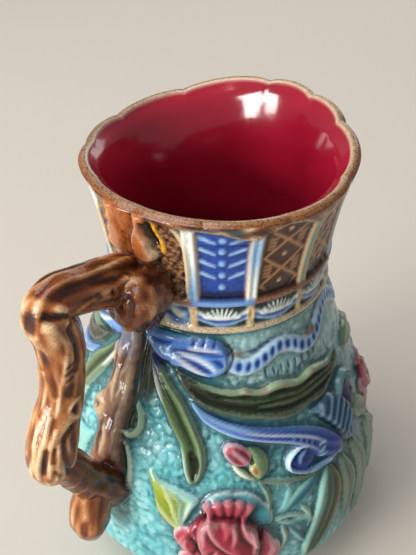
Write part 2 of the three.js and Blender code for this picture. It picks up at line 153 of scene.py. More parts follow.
def curve_through(pairs):
    """A smooth curve through the given (height, value) pairs that doesn't overshoot them."""
    xs, ys = np.array(pairs, float).T
    steps = np.diff(xs)
    slopes = np.diff(ys) / steps
    before, after = slopes[:-1], slopes[1:]
    with np.errstate(divide="ignore", invalid="ignore"):
        inner = np.where(before * after > 0, 2 * before * after / (before + after), 0)
    tangents = np.concatenate([[slopes[0]], inner, [slopes[-1]]])

    def value(x):
        i = np.clip(np.searchsorted(xs, x) - 1, 0, len(steps) - 1)
        t = clamp((x - xs[i]) / steps[i])
        back = 1 - t
        return (ys[i] * (1 + 2 * t) * back ** 2 + tangents[i] * steps[i] * t * back ** 2
                + ys[i + 1] * t ** 2 * (3 - 2 * t) - tangents[i + 1] * steps[i] * t ** 2 * back)
    return value


profile = curve_through(PROFILE)


def wobble(points, wavelength, waves=18, seed=1):
    """Soft, even unevenness between about -1 and 1, the same on every run."""
    draw = np.random.default_rng(seed)
    turns = draw.normal(size=(waves, 3))
    turns *= 2 * math.pi / wavelength / np.linalg.norm(turns, axis=1)[:, None]
    phases = draw.uniform(0, 2 * math.pi, waves)
    return np.cos(points @ turns.T + phases).sum(1) / math.sqrt(waves)


def scallop(bearing):
    """Outward bulge of the lip between two notches, from -1 at a notch to 0.5 between them."""
    notches = np.array(SCALLOP_NOTCHES, float)
    b = (bearing - notches[0]) % 360 + notches[0]
    i = np.clip(np.searchsorted(notches, b, side="right") - 1, 0, len(notches) - 2)
    t = (b - notches[i]) / (notches[i + 1] - notches[i])
    far_side = 0.5 - 0.5 * np.cos(bearing * DEG)
    bulge = 1.5 * np.sqrt(np.maximum(0, np.sin(math.pi * t))) - 1
    return bulge * mix(SCALLOP_FRONT, 1, far_side)


def body_point(bearing, z, out, scalloped=1.0):
    """A point on the body in millimetres: the bare profile, moved out along its own normal."""
    slope = profile(np.minimum(HEIGHT, z + 0.5)) - profile(np.maximum(0, z - 0.5))
    length = np.hypot(1, slope)
    flare = clamp((z - NECK_HEIGHT) / (HEIGHT - NECK_HEIGHT))
    spout = (bearing - 180) * DEG
    oval = -MOUTH_OVAL * np.cos(2 * spout) - MOUTH_SHIFT * np.cos(spout)
    notch = scalloped * scallop(bearing)
    r = profile(z) + oval * flare ** 2 + SCALLOP_DEPTH * notch * smooth(0.7, 1, flare) + out / length
    share = (1 - np.cos(bearing * DEG)) / 2
    height = (z + SPOUT_RISE * share ** 3 * flare ** 1.3 + SCALLOP_LIFT * notch * smooth(0.8, 1, flare)
              - np.where(z > FOOT_HEIGHT, out * slope / length, 0))
    return np.stack([r * np.cos(spout), r * np.sin(spout), height], -1)


def spline(points, steps=6):
    """A smooth line through the points."""
    p = np.array(points, float)
    p = np.vstack([2 * p[0] - p[1], p, 2 * p[-1] - p[-2]])
    t = np.linspace(0, 1, steps, endpoint=False)[:, None]
    pieces = []
    for i in range(1, len(p) - 2):
        a, b, c, d = p[i - 1:i + 3]
        pieces.append(0.5 * (2 * b + (c - a) * t + (2 * a - 5 * b + 4 * c - d) * t ** 2
                             + (3 * b - a - 3 * c + d) * t ** 3))
    return np.vstack(pieces + [p[-2:-1]])


def lengthwise(left, right, place, start=0.0, stop=1.0):
    """A line along a form between its edges, at a place across it from -1 at the right to 1 at the left."""
    t = np.linspace(start, stop, 9)
    one, two = [np.stack([np.interp(t, np.linspace(0, 1, len(e)), e[:, i]) for i in range(2)], -1)
                for e in (spline(left), spline(right))]
    return mix(two, one, (place + 1) / 2)


# The width of a band or a stroke along its length, as a share of its widest
WIDTHS = {
    "leaf": lambda t: np.maximum(0.05, np.sin(math.pi * t ** 0.8)) ** 0.7,
    "blunt": lambda t: np.maximum(0.05, 1 - np.abs(2 * t - 1) ** 4) ** 0.5,
    "drop": lambda t: np.maximum(0.08, np.sin(math.pi * t ** 1.6)),
    "even": lambda t: np.ones_like(t),
}


class Carving:
    """The outside of the body as points by bearing and height. Each has a height of carving above
    the bare body, a colour of glaze and an amount of brown speckle."""

    def __init__(self, bearing, z):
        self.bearing = bearing
        self.z = z
        self.side = np.abs(bearing)
        self.radius = profile(z)
        self.high = np.zeros_like(z)
        self.paint = np.tile(AQUA, (len(z), 1))
        self.speckle = np.zeros_like(z)

    def within(self, low, high, mirrored=True):
        """The points in a box of bearings and heights, and their own bearings."""
        b = self.side if mirrored else self.bearing
        inside = (b > low[0]) & (b < high[0]) & (self.z > low[1]) & (self.z < high[1])
        pick = np.nonzero(inside)[0]
        return pick, b[pick]

    def off_line(self, pick, b, line):
        """How far points are off a line, positive to its left, and how far along it they lie."""
        z = self.z[pick]
        per_degree = self.radius[pick] * DEG
        best = np.full(len(pick), 1e9)
        signed = best.copy()
        along = np.zeros(len(pick))
        for i in range(len(line) - 1):
            ax = (line[i, 0] - b) * per_degree
            ay = line[i, 1] - z
            dx = (line[i + 1, 0] - line[i, 0]) * per_degree
            dy = line[i + 1, 1] - line[i, 1]
            t = clamp(-(ax * dx + ay * dy) / (dx * dx + dy * dy))
            off = np.hypot(ax + dx * t, ay + dy * t)
            closer = off < best
            best = np.where(closer, off, best)
            signed = np.where(closer, np.where(dy * ax - dx * ay > 0, off, -off), signed)
            along = np.where(closer, (i + t) / (len(line) - 1), along)
        return signed, along

    def near(self, spine, reach, mirrored=True):
        """The points near a spine: how far off it they are, positive to its left, and how far along."""
        line = spline(spine)
        span = np.array([reach / LEAST_RADIUS / DEG, reach])
        pick, b = self.within(line.min(0) - span, line.max(0) + span, mirrored)
        signed, along = self.off_line(pick, b, line)
        return pick, signed, along

    def between(self, left, right, mirrored=True):
        """The points between two edges that run the same way: millimetres inside the nearer edge,
        the place across from -1 at the right to 1 at the left, and the place along."""
        one, two = spline(left), spline(right)
        both = np.vstack([one, two])
        span = np.array([2.5, 2])
        pick, b = self.within(both.min(0) - span, both.max(0) + span, mirrored)
        from_left, _ = self.off_line(pick, b, one)
        from_right, along = self.off_line(pick, b, two)
        inner = np.minimum(-from_left, from_right)
        near_by = inner > -1.5
        pick, inner, along = pick[near_by], inner[near_by], along[near_by]
        from_left, from_right = np.abs(from_left[near_by]), np.abs(from_right[near_by])
        across = (from_right - from_left) / (from_right + from_left + 0.2)
        return pick, inner, across, along

    def local(self, at, reach, mirrored=True):
        """The points round a place, with their own x and y from it in millimetres."""
        span = reach / LEAST_RADIUS / DEG
        pick, b = self.within((at[0] - span, at[1] - reach), (at[0] + span, at[1] + reach), mirrored)
        return pick, (b - at[0]) * self.radius[pick] * DEG, self.z[pick] - at[1]

    def tint(self, pick, cover, paint, speckle=0.0):
        """Lays a glaze over the colour that is there."""
        self.paint[pick] = blend(self.paint[pick], paint, cover)
        self.speckle[pick] = mix(self.speckle[pick], speckle, cover)

    def lay(self, pick, high, cover, paint, speckle=0.0):
        """Lays a raised form over the surface: where it stands highest it shows."""
        shows = cover * smooth(-0.5, 0.2, high + 0.3 - self.high[pick])
        self.high[pick] = np.maximum(self.high[pick], high * cover)
        self.tint(pick, shows, paint, speckle)

    def add(self, pick, more):
        self.high[pick] += more


def edge(u, start=0.88, stop=1.04):
    """1 inside a form, falling to 0 across its edge."""
    return 1 - smooth(start, stop, np.abs(u))


def bar(c, spine, half, height, colours, width="leaf", mirrored=True, speckle=0.0, ridges=0,
        hollow=0.0):
    """A raised band along a spine. colours run across it, from -1 on its right to 1 on its left."""
    pick, off, t = c.near(spine, half * 1.3, mirrored)
    w = half * WIDTHS[width](t)
    u = off / w
    round_top = np.cos(math.pi / 2 * np.minimum(np.abs(u), 1)) ** 0.8
    dished = (0.62 + 0.38 * u ** 2) * smooth(-0.3, 1.7, w - np.abs(off))
    high = height * mix(round_top, dished, hollow)
    if ridges:
        high += 0.07 * height * np.cos(ridges * math.pi * u) * edge(u, 0.6, 0.95)
    c.lay(pick, high, smooth(-0.4, 0.5, w - np.abs(off)), ramp(u, colours), speckle)


def leaf(c, left, right, height, colours, hollow=0.4, mirrored=True, ribs=0, roll=1.9, speckle=0.0):
    """A raised form between two edges. colours run across it, from -1 at its right edge to 1."""
    pick, inner, u, _ = c.between(left, right, mirrored)
    high = height * smooth(-0.4, roll, inner) * (1 - hollow * (1 - u ** 2))
    if ribs:
        high += 0.3 * np.cos(ribs * math.pi * u) * smooth(0.5, 2, inner)
    c.lay(pick, high, smooth(-0.3, 0.5, inner), ramp(u, colours), speckle)


def stroke(c, spine, half, paint, width="leaf", mirrored=True, raised=0.0, strength=1.0):
    """A brushed or scratched mark on what is there."""
    pick, off, t = c.near(spine, half + 1, mirrored)
    cover = edge(off / (half * WIDTHS[width](t)), 0.4, 1.25) * strength
    c.add(pick, raised * cover)
    c.tint(pick, cover, paint, 0.0)


# A petal with more ribs than this is cupped
MANY_RIBS = 8


def petal(c, at, size, turn, height, colours, ribs=0, mirrored=True, rim=0.5):
    """A rounded petal with a raised rim, cupped if it has many ribs. size is half its length and width."""
    pick, x, y = c.local(at, max(size) * 1.2, mirrored)
    cos, sin = math.cos(turn * DEG), math.sin(turn * DEG)
    along, across = (x * cos + y * sin) / size[0], (y * cos - x * sin) / size[1]
    u = np.hypot(along, across)
    angle = np.arctan2(across, along)
    top = np.sqrt(np.maximum(0, 1 - np.minimum(u, 1) ** 3))
    high = height * (0.35 + 0.65 * top) + rim * np.exp(-((u - 0.86) / 0.09) ** 2)
    paint = ramp(u, colours)
    if ribs > MANY_RIBS:
        high = high - 0.35 * height * np.exp(-(u / 0.5) ** 2)
    if ribs:
        streak = np.cos(ribs * angle) * smooth(0.15, 0.5, u)
        high += 0.22 * streak
        paint = blend(paint, PINK, np.maximum(0, streak) ** 2 * 0.4 * smooth(0.4, 0.9, u))
    c.lay(pick, high, edge(u, 0.93, 1.05), paint)


def dot(c, at, size, paint, raised=0.4, mirrored=True):
    """A small round boss."""
    pick, x, y = c.local(at, size * 1.5, mirrored)
    cover = edge(np.hypot(x, y) / size, 0.6, 1.1)
    c.add(pick, raised * cover)
    c.tint(pick, cover, paint)


def ground(c):
    """The turquoise ground, hand-stippled, greyer on the shoulder, and greyer and darker on the far side,
    partly a duller glaze and partly painted shade.
    """
    points = body_point(c.bearing, c.z, 0)
    stipple = wobble(points, 4.6, seed=3)
    vein = np.exp(-(wobble(points, 6.4, seed=4) / 0.42) ** 2)
    c.add(slice(None), 0.14 * stipple - 0.34 * vein + 0.08 * wobble(points, 2.4, seed=8))
    patches = smooth(-0.8, 1.4, wobble(points, 24, seed=5))
    shoulder = smooth(108, 122, c.z) * smooth(36, 46, c.side)
    # Far side: a grey-teal tint, partly a duller glaze and partly painted shade on the side turned from the
    # window.
    far = smooth(74, 100, c.side) * (1 - 0.75 * shoulder)
    for paint, cover in ((PALE_AQUA, 0.4 * patches),
                         (mix(MIST, PALE_AQUA, 0.35), 0.85 * shoulder),
                         (mix(GREY_GREEN, TEAL, 0.3), 0.65 * far),
                         (mix(TEAL, AQUA, 0.35), 0.62 * vein * (1 - 0.25 * shoulder)),
                         (mix(PALE_AQUA, WHITE, 0.25), 0.5 * smooth(0.0, 1.6, stipple) * (1 - vein))):
        c.paint[:] = blend(c.paint, paint, cover)
    c.high[c.z < FOOT_HEIGHT] = 0


def lip_edge(b):
    """The lower edge of the plain lip, which arches over each panel."""
    return np.interp(b, LIP_ARCHES[0], LIP_ARCHES[1])


def rings(c):
    """The ring at the foot of the neck and the plain band above the frieze."""
    for height, paint, speckle in ((NECK_HEIGHT + 1.2, mix(CREAM, TAN, 0.35), 0.75),
                                   (BAND_HEIGHT + 0.6, mix(BROWN, TAN, 0.2), 0.8)):
        pick, b = c.within((-1, height - RING_HALF), (181, height + RING_HALF))
        u = (c.z[pick] - height) / RING_HALF
        high = 1.8 * np.cos(math.pi / 2 * u) ** 0.7
        shade = blend(paint, BROWN * 0.7, smooth(-0.45, -0.8, u))
        c.lay(pick, high, edge(u, 0.95, 1.05), shade, speckle)
        if height > BAND_HEIGHT:
            blue = smooth(26, 30, b) * (1 - smooth(56.5, 58.5, b))
            blue += smooth(113, 115, b) * (1 - smooth(145, 147, b))
            c.tint(pick, blue, mix(MID_BLUE, PALE_BLUE, 0.25))


def frieze(c, middle, half):
    """One bay of the frieze: a white fan over white and blue swags on a dark green ground."""
    pick, b = c.within((middle - half, NECK_HEIGHT + 3), (middle + half, BAND_HEIGHT - 1.2))
    z = c.z[pick]
    share = (b - middle) / half
    c.tint(pick, 1 - smooth(0.85, 1, np.abs(share)), mix(DARK_LEAF, TEAL, 0.35))
    swag = NECK_HEIGHT + 7.2 + 3.2 * share ** 2
    swags = ((0, WHITE, 0.9), (-1.7, mix(BLUE, MID_BLUE, 0.3), 1.1), (-3.3, PALE_BLUE, 0.8))
    for below, paint, thick in swags:
        cover = edge((z - swag - below) / thick, 0.5, 1.2)
        c.add(pick, 0.7 * cover)
        c.tint(pick, cover, paint)
    pick, x, y = c.local((middle, NECK_HEIGHT + 5.2), 10)
    spread = np.arctan2(x, y) / DEG
    arch = np.hypot(x / 8.4, y / 7.6)
    teeth = 0.5 + 0.5 * np.cos(2 * math.pi * spread / 17)
    fan_shape = edge(arch, 0.84, 1.02) * smooth(0.2, 0.55, teeth + 1.2 * (0.66 - arch))
    fan_shape *= smooth(1.4, 2.4, y)
    c.add(pick, 1.2 * fan_shape)
    c.tint(pick, fan_shape, WHITE * 1.1)


def frieze_end(c):
    """The end of the frieze by the handle, in clouded pale blue and gold."""
    pick, b = c.within((6, NECK_HEIGHT + 2.4), (26.6, BAND_HEIGHT - 0.6))
    cloud = wobble(body_point(b, c.z[pick], 0) * (1, 1, 1.6), 7, seed=12)
    paint = ramp(cloud + 0.05 * (b - 16), [(-1.4, mix(TEAL, BLUE, 0.5)), (-0.5, MID_BLUE),
                                           (0.1, PALE_BLUE), (0.7, WHITE), (1.2, CREAM), (1.7, YELLOW)])
    c.tint(pick, np.full(len(pick), 0.95), paint, 0.12)
    c.add(pick, 0.35 * cloud)


def post(c, middle, half, top_paint, foot_paint):
    """An upright post between two panels, with a groove down it and a tan line on either side."""
    pick, b = c.within((middle - half - 1, PANEL_FOOT - 0.6), (middle + half + 1, PANEL_TOP + 2))
    z = c.z[pick]
    u = (b - middle) / half
    high = 1.3 * (1 - smooth(0.7, 1.1, np.abs(u))) - 0.5 * np.exp(-(u / 0.3) ** 2)
    paint = blend(foot_paint, top_paint, smooth(166, 184, z))
    paint = blend(paint, mix(TAN, CREAM, 0.3), smooth(0.72, 0.9, np.abs(u)))
    below_lip = 1 - smooth(-0.3, 0.5, z - lip_edge(b))
    c.lay(pick, high * below_lip, edge(u, 1.0, 1.2) * below_lip, paint, 0.1)
    pick, b = c.within((middle - half, NECK_HEIGHT + 3), (middle + half, BAND_HEIGHT - 1))
    below_band = edge((b - middle) / half, 0.2, 1.0)
    c.tint(pick, below_band, mix(YELLOW, CREAM, 0.55), 0.5)
    c.add(pick, 0.8 * below_band)


def blue_panel(c, middle, half):
    """Deep blue, with pale strokes that slant down on either side of a row of dots."""
    pick, b = c.within((middle - half, PANEL_FOOT - 1), (middle + half, PANEL_TOP + 2))
    z = c.z[pick]
    side = np.abs(b - middle)
    inside = edge((b - middle) / half, 0.93, 1)
    c.add(pick, -0.5 * inside)
    brushed = 0.5 + 0.5 * np.sin(b * 5.5)
    c.tint(pick, inside, blend(BLUE, MID_BLUE, 0.16 * brushed + 0.25 * smooth(half - 3, half, side)))
    pitch = 6.05
    row = (z - 0.4 * side - 164.6) / pitch
    half_width = mix(0.55, 0.95, smooth(2, 9, side))
    arm = edge((row - np.round(row)) * pitch / half_width, 0.5, 1.2)
    arm *= smooth(2.2, 3.4, side) * (1 - smooth(half - 1.6, half - 0.8, side)) * smooth(0.3, 0.6, row)
    c.add(pick, 0.55 * arm)
    c.tint(pick, arm, mix(PALE_BLUE, WHITE, 0.15))
    c.tint(pick, 1 - smooth(PANEL_FOOT + 2.2, PANEL_FOOT + 3.6, z), NAVY)
    for i in range(5):
        dot(c, (middle, 167.4 + i * pitch), 1.6, mix(MID_BLUE, PALE_BLUE, 0.75), 0.8)


def brown_panel(c, middle, half):
    """Dark brown, with raised lines that cross in lozenges, dots and short hatching."""
    pick, b = c.within((middle - half, PANEL_FOOT - 1), (middle + half, PANEL_TOP + 2))
    z = c.z[pick]
    wide = half * 47 * DEG
    across = (b - middle) * c.radius[pick] * DEG
    inside = edge((b - middle) / half, 0.93, 1)
    c.add(pick, -0.4 * inside)
    c.tint(pick, inside, mix(DARK_BROWN, BROWN, 0.25), 0.1)
    pitch = 14.5
    turn = (z - 173) / pitch
    from_crossing = (turn - np.round(turn)) * pitch
    off = (np.abs(across) - 2 * np.abs(from_crossing) / pitch * wide * 0.9) / 1.55
    marks = edge(off / 0.62, 0.5, 1.25)
    slant = (z - 0.25 * np.abs(across)) % 1.75
    hatch = edge((slant - 0.87) / 0.5, 0.5, 1.3) * edge((np.abs(across) / wide - 0.66) / 0.2, 0.8, 1.1)
    marks = np.maximum(marks, hatch * edge(from_crossing / 3.4, 0.85, 1.1) * (z < 192))
    c.add(pick, 0.6 * marks * inside)
    c.tint(pick, marks * inside, mix(TAN, BROWN, 0.12))
    c.tint(pick, inside * (1 - smooth(PANEL_FOOT + 1.2, PANEL_FOOT + 3, z)), DARK_BROWN * 0.7)
    for height in (166.6, 180.4, 193.6):
        dot(c, (middle, height), 1.15, mix(TAN, CREAM, 0.3), 0.7)


def bark_panel(c):
    """The rough, dark strip beside the handle, and the root that flares from it up to the lip."""
    pick, b = c.within((9, BAND_HEIGHT + 2), (26, PANEL_TOP + 2))
    z = c.z[pick]
    points = body_point(b, z, 0)
    rough = wobble(points * (1, 1, 2.2), 2.8, seed=6) + 0.5 * wobble(points * (1, 1, 1.5), 1.7, seed=7)
    outer = np.interp(z, [162, 172, 182, 190, 197], [25.6, 26.6, 26.4, 25, 22])
    cover = smooth(9, 11, b) * smooth(0.4, -0.4, b - outer) * (z < lip_edge(b) + 0.5)
    c.add(pick, cover * (0.4 + 0.3 * rough))
    c.tint(pick, cover,
           ramp(rough, [(-1.3, DARK_BROWN * 0.5), (-0.3, PLUM * 0.8), (0.5, mix(PLUM, TAN, 0.35)),
                        (1.3, TAN)]), 0.3)
    stroke(c, [(22, 196.5), (25.4, 190), (27, 182), (27, 172), (26, 165)], 0.9, mix(CREAM, TAN, 0.3),
           "even", raised=0.5)
    orange = [(-1, ORANGE * 0.7), (-0.4, ORANGE), (0.1, mix(ORANGE, BROWN, 0.5)), (0.5, ORANGE), (1, TAN)]
    bar(c, [(-5, 166), (-4, 182), (-3, 200)], 10, 2.6, orange, "even", False, speckle=0.45, ridges=3)
    leaf(c, [(1, 164), (2, 176), (3, 188), (4, 199)], [(1, 164), (11, 174), (10.6, 188), (12, 199)],
         3.6, [(-1, mix(ORANGE, BROWN, 0.3)), (-0.5, ORANGE), (0.2, mix(ORANGE, TAN, 0.3)),
               (1, ORANGE)], 0.1, ribs=2)
    tongue = [(3, 177), (9, 176.6), (13.4, 178.4), (14.6, 181.6), (12.4, 185), (12.6, 188), (10, 191),
              (9.6, 194), (7, 197)]
    leaf(c, [(3, 177), (1.6, 185), (3.6, 192), (7, 197)], tongue, 4.6,
         [(-1, CREAM), (-0.84, mix(CREAM, TAN, 0.5)), (-0.6, mix(TAN, ORANGE, 0.6)), (-0.2, ORANGE),
          (0.4, mix(ORANGE, BROWN, 0.3)), (1, ORANGE)], 0.05, speckle=0.35)
    stroke(c, [(8.6, 196), (11, 193), (12.4, 190), (14.6, 186)], 2.2, DARK_BROWN * 0.8, "blunt",
           raised=-0.9)
    stroke(c, [(13.6, 196), (14.6, 191), (16.8, 187), (16.6, 182.6)], 0.95, YELLOW, "even", raised=0.5)


def lip(c):
    """The plain brown lip over the panels, with a cream line under it."""
    pick, b = c.within((-1, PANEL_TOP - 6), (181, HEIGHT + 1))
    z = c.z[pick] - lip_edge(b)
    cloud = wobble(body_point(b, c.z[pick], 0) * (1, 1, 2), 9, seed=14)
    umber = mix(BROWN, PLUM, 0.45)
    paint = ramp(cloud, [(-1.3, DARK_BROWN), (-0.4, umber), (0.5, mix(umber, TAN, 0.35)), (1.2, TAN),
                         (1.8, CREAM)])
    c.lay(pick, 1.4 * smooth(-0.6, 1.2, z), smooth(-0.6, 0.3, z), paint, 0.85)
    cream = edge((z - 0.4) / 1.0, 0.4, 1.2) * smooth(22, 30, b)
    c.tint(pick, 0.7 * cream, CREAM, 0.5)
    green = smooth(32, 35, b) * (1 - smooth(49, 53, b)) * smooth(1.6, 2.6, z)
    green *= 1 - smooth(-1.8, -0.6, c.z[pick] - HEIGHT)
    c.tint(pick, 0.85 * green, mix(DARK_LEAF, TEAL, 0.35), 0.3)


def neck(c):
    """The rings, panels, posts and lip. Panels and posts are placed by the bearing of their middle."""
    rings(c)
    panels = ((blue_panel, 42.4, 11.2), (brown_panel, 70.2, 11.2), (brown_panel, 98, 11.4),
              (blue_panel, 129.5, 14.3), (brown_panel, 163.5, 13.8))
    for panel, middle, half in panels:
        panel(c, middle, half)
        frieze(c, middle, half + 1.8)
    grey = mix(GREY_GREEN, CREAM, 0.4)
    for middle, half, top_paint, foot_paint in (
            (28.6, 3, WHITE, PALE_BLUE * 0.9), (56.3, 2.9, PALE_BLUE, WHITE), (84, 2.9, grey, grey),
            (112, 2.9, WHITE, PALE_BLUE), (147, 2.9, PALE_BLUE, WHITE), (180, 2.9, grey, grey)):
        post(c, middle, half, top_paint, foot_paint)
    frieze_end(c)
    bark_panel(c)
    lip(c)


def strap_head(c, deep):
    """The lobed blue head of the strap, with its dark hollows and white glints."""
    leaf(c, [(2, 138), (10, 143), (25, 143.5), (38, 142.5), (44, 138.5), (46, 133)],
         [(2, 138), (12, 130.5), (24, 128.5), (36, 126), (44, 128.5), (46, 133)], 3.6,
         [(-1, WHITE), (-0.9, PALE_BLUE), (-0.75, MID_BLUE), (-0.2, mix(MID_BLUE, PALE_BLUE, 0.5)),
          (0.2, MID_BLUE), (0.8, mix(MID_BLUE, BLUE, 0.4)), (1, PALE_BLUE)], 0.1)
    for spine, half, shape in (
            ([(18.5, 136), (30, 136.6), (43, 135.6)], 1.15, "blunt"),
            ([(19, 135.7), (29, 131.8), (38.5, 128.6)], 2.1, "drop"),
            ([(36, 134), (40, 133), (43, 130.5)], 1.7, "drop"),
            ([(29, 138.4), (29.5, 142.6)], 1.1, "blunt"), ([(33.4, 138.4), (34, 142.4)], 0.9, "blunt"),
            ([(38, 138.2), (39, 141.6)], 0.8, "blunt"),
            ([(9, 131.5), (14, 130), (19, 131)], 1.7, "blunt"),
            ([(22, 129.4), (30, 127), (38, 125.8)], 0.8, "blunt"),
            ([(6, 139), (13, 138), (19, 139)], 1.2, "leaf")):
        stroke(c, spine, half, deep, shape, raised=-0.55)
    for spine in ([(20, 134.2), (29, 130), (37, 126.9)], [(22, 135.2), (30, 134.4), (37, 131.4), (40, 129)],
                  [(26, 138), (33, 138), (42, 137.2)]):
        stroke(c, spine, 0.95, WHITE, raised=0.4, strength=0.8)


def strap(c):
    """The lobed blue head and the pale, spotted strap that runs on from it under the neck."""
    deep = mix(BLUE, NAVY, 0.45)
    strap_head(c, deep)
    route = [(45.5, 131.6), (52, 129.8), (57, 130.2), (62, 132), (68, 134.4), (73, 135), (79, 133.4),
             (84, 130.6), (88, 130.2), (93, 132), (99, 135.6), (104, 138.6), (110, 139.8), (118, 138),
             (130, 131), (144, 136), (156, 139.5), (168, 136), (180, 133)]
    pale = mix(PALE_BLUE, WHITE, 0.6)
    bar(c, route, 3.4, 2.3, [(-1, pale), (-0.8, pale), (-0.62, PALE_BLUE),
                             (0, mix(PALE_BLUE, MID_BLUE, 0.3)), (0.62, PALE_BLUE), (0.8, pale),
                             (1, pale)], "even", hollow=1)
    line = spline(route, 3)
    lengths = np.concatenate([[0], np.cumsum(np.hypot(*(np.diff(line, axis=0) * (0.88, 1)).T))])
    spot_pitch = 3.9
    for i, place in enumerate(np.arange(4, lengths[-1] - 2, spot_pitch)):
        b = np.interp(place, lengths, line[:, 0])
        z = np.interp(place, lengths, line[:, 1])
        lean = 0.5 + 0.3 * math.sin(1.7 * i)
        stroke(c, [(b - lean, z - 1.9), (b + lean, z + 1.9)], 1.3 + 0.2 * math.cos(2.3 * i), deep,
               "blunt", raised=-0.4)
    stroke(c, [(45, 139), (47.4, 135.4), (46, 131.5), (43.6, 127.4)], 0.55, DARK_BROWN, "even", raised=-0.2)
    stroke(c, [(47, 135.4), (50, 135.3), (54, 135.2)], 0.8, BROWN, "blunt", raised=0.5)
    stroke(c, [(53, 135.2), (58, 135.6), (64, 137.6), (70, 138.4)], 0.7, deep, raised=-0.2)
    stroke(c, [(86, 135), (88.5, 133.8), (91, 134), (93, 136)], 1.2, BROWN * 0.7, "blunt", raised=1.0)
    for b in range(62, 92, 4):
        stroke(c, [(b, 127.4), (b + 0.4, 123.6)], 0.65, mix(TEAL, DARK_LEAF, 0.2), raised=-0.3)


def shoulder_leaf(c, dark):
    """The long leaf across the shoulder."""
    upper = [(18, 130), (30, 125.6), (40, 122.4), (48, 121.4), (52, 122), (58, 120.3), (64, 122),
             (71, 121.2), (77, 119.7), (84, 121.4), (92, 119.4), (100, 118), (108, 118.6)]
    lower = [(18, 130), (25, 120.5), (33, 114.6), (40, 111.8), (50, 109), (57, 107.6), (63, 105.8),
             (70, 104.8), (78, 106.2), (86, 106.4), (92, 109), (100, 113), (108, 118.6)]
    leaf(c, upper, lower, 4.0, [(-1, CREAM), (-0.92, PALE_LEAF), (-0.8, dark), (0.8, dark),
                                (0.93, PALE_LEAF), (1, CREAM)], 0.35)
    for place, half, paint, raised, start, stop in (
            (0.76, 1.7, mix(LEAF, MID_LEAF, 0.6), 0.8, 0.1, 0.97),
            (0.9, 0.8, mix(PALE_LEAF, MID_LEAF, 0.3), 0.3, 0.05, 1),
            (0.5, 1.4, dark * 0.6, -0.9, 0.14, 0.95), (0.28, 1.6, mix(LEAF, dark, 0.35), 0.7, 0.2, 0.9),
            (0.08, 1.2, dark * 0.5, -0.8, 0.38, 0.92),
            (-0.08, 1.1, mix(LEAF, MID_LEAF, 0.35), 0.7, 0.4, 0.96),
            (-0.28, 1.3, dark * 0.5, -0.7, 0.38, 0.9),
            (-0.52, 1.5, mix(dark, LEAF, 0.35), 0.4, 0.15, 0.85)):
        stroke(c, lengthwise(upper, lower, place, start, stop), half, paint, raised=raised, strength=0.85)
    for b, z in ((70, 120.2), (84.5, 120), (52, 120.6), (61, 119.6), (94, 118)):
        stroke(c, [(b - 3, z - 0.6), (b, z), (b + 3, z - 0.8)], 0.9, BROWN, strength=0.6)


def hanging_leaf(c, dark):
    """The leaf that hangs beside the handle, over narrow dark ones."""
    upper = [(6.5, 135), (13, 130.5), (20, 122.6), (26, 116.6), (30, 110.4), (33, 104), (35.4, 97),
             (35.8, 90), (34.4, 84), (31, 79)]
    lower = [(6.5, 135), (8.6, 127), (12.2, 119), (17, 111.6), (21.5, 104), (25, 98.4), (26.6, 94),
             (27.4, 88), (28.8, 83), (31, 79)]
    leaf(c, upper, lower, 4.3, [(-1, PALE_LEAF), (-0.92, mix(PALE_LEAF, PALE_AQUA, 0.5)), (-0.78, LEAF),
                                (-0.5, MID_LEAF), (-0.25, LEAF * 0.7), (0, dark), (0.2, LEAF * 0.8),
                                (0.42, MID_LEAF), (0.6, mix(LEAF, MID_LEAF, 0.5)), (0.78, dark),
                                (0.93, PALE_LEAF), (1, CREAM)], 0.4, ribs=3)
    pick, x, y = c.local((8, 127), 24)
    c.tint(pick, 0.85 * edge(np.hypot(x / 7, y / 19), 0.4, 1.1), mix(DARK_LEAF, BLUE, 0.35))
    for spine, half, high, middle in (
            ([(5.4, 139), (6, 130), (6, 119), (5, 108)], 2.2, 2.4, dark),
            ([(7.6, 137), (9, 127), (9.6, 118), (8.4, 109)], 2.0, 2.0, mix(GREY_GREEN, DARK_LEAF, 0.4))):
        bar(c, spine, half, high, [(-1, middle), (-0.4, middle), (0.3, dark), (0.75, LEAF),
                                   (1, MID_LEAF)], "leaf", hollow=0.6)
    stroke(c, [(30, 96), (32, 90), (31.4, 83)], 2.3, DARK_LEAF * 0.7, raised=-1.2)
    stroke(c, [(26.6, 96), (28.4, 89.5), (30, 82)], 0.8, mix(PALE_LEAF, PALE_AQUA, 0.4), "even", raised=0.7)
    # A painted highlight: this white stroke stands for the window's reflection on the leaf.
    stroke(c, [(9, 131), (13.4, 121), (18, 112.6)], 0.9, WHITE, "drop", raised=0.3, strength=0.8)


def long_leaves(c):
    """The leaf across the shoulder, the hanging one, and the pale stems beside the handle."""
    dark = DARK_LEAF * 0.8
    shoulder_leaf(c, dark)
    hanging_leaf(c, dark)
    bar(c, [(5.6, 109), (8.2, 104), (8, 98), (4.6, 93.6), (1.5, 95)], 1.6, 2.8,
        [(-1, PALE_LEAF), (0, PALE_LEAF), (1, mix(PALE_LEAF, AQUA, 0.4))], "blunt")
    stroke(c, [(4, 106), (4.4, 100), (3.4, 95.6)], 2.4, mix(LEAF, GREY_GREEN, 0.3), raised=0.6)
    bar(c, [(1.5, 92), (5.5, 84), (6.8, 74), (5.6, 65), (2.5, 59)], 1.3, 1.7,
        [(-1, PALE_AQUA), (0, PALE_LEAF), (1, WHITE)], "blunt")
    stroke(c, [(1.5, 90), (4, 78), (2, 62)], 2.6, mix(GREY_GREEN, LEAF, 0.4))


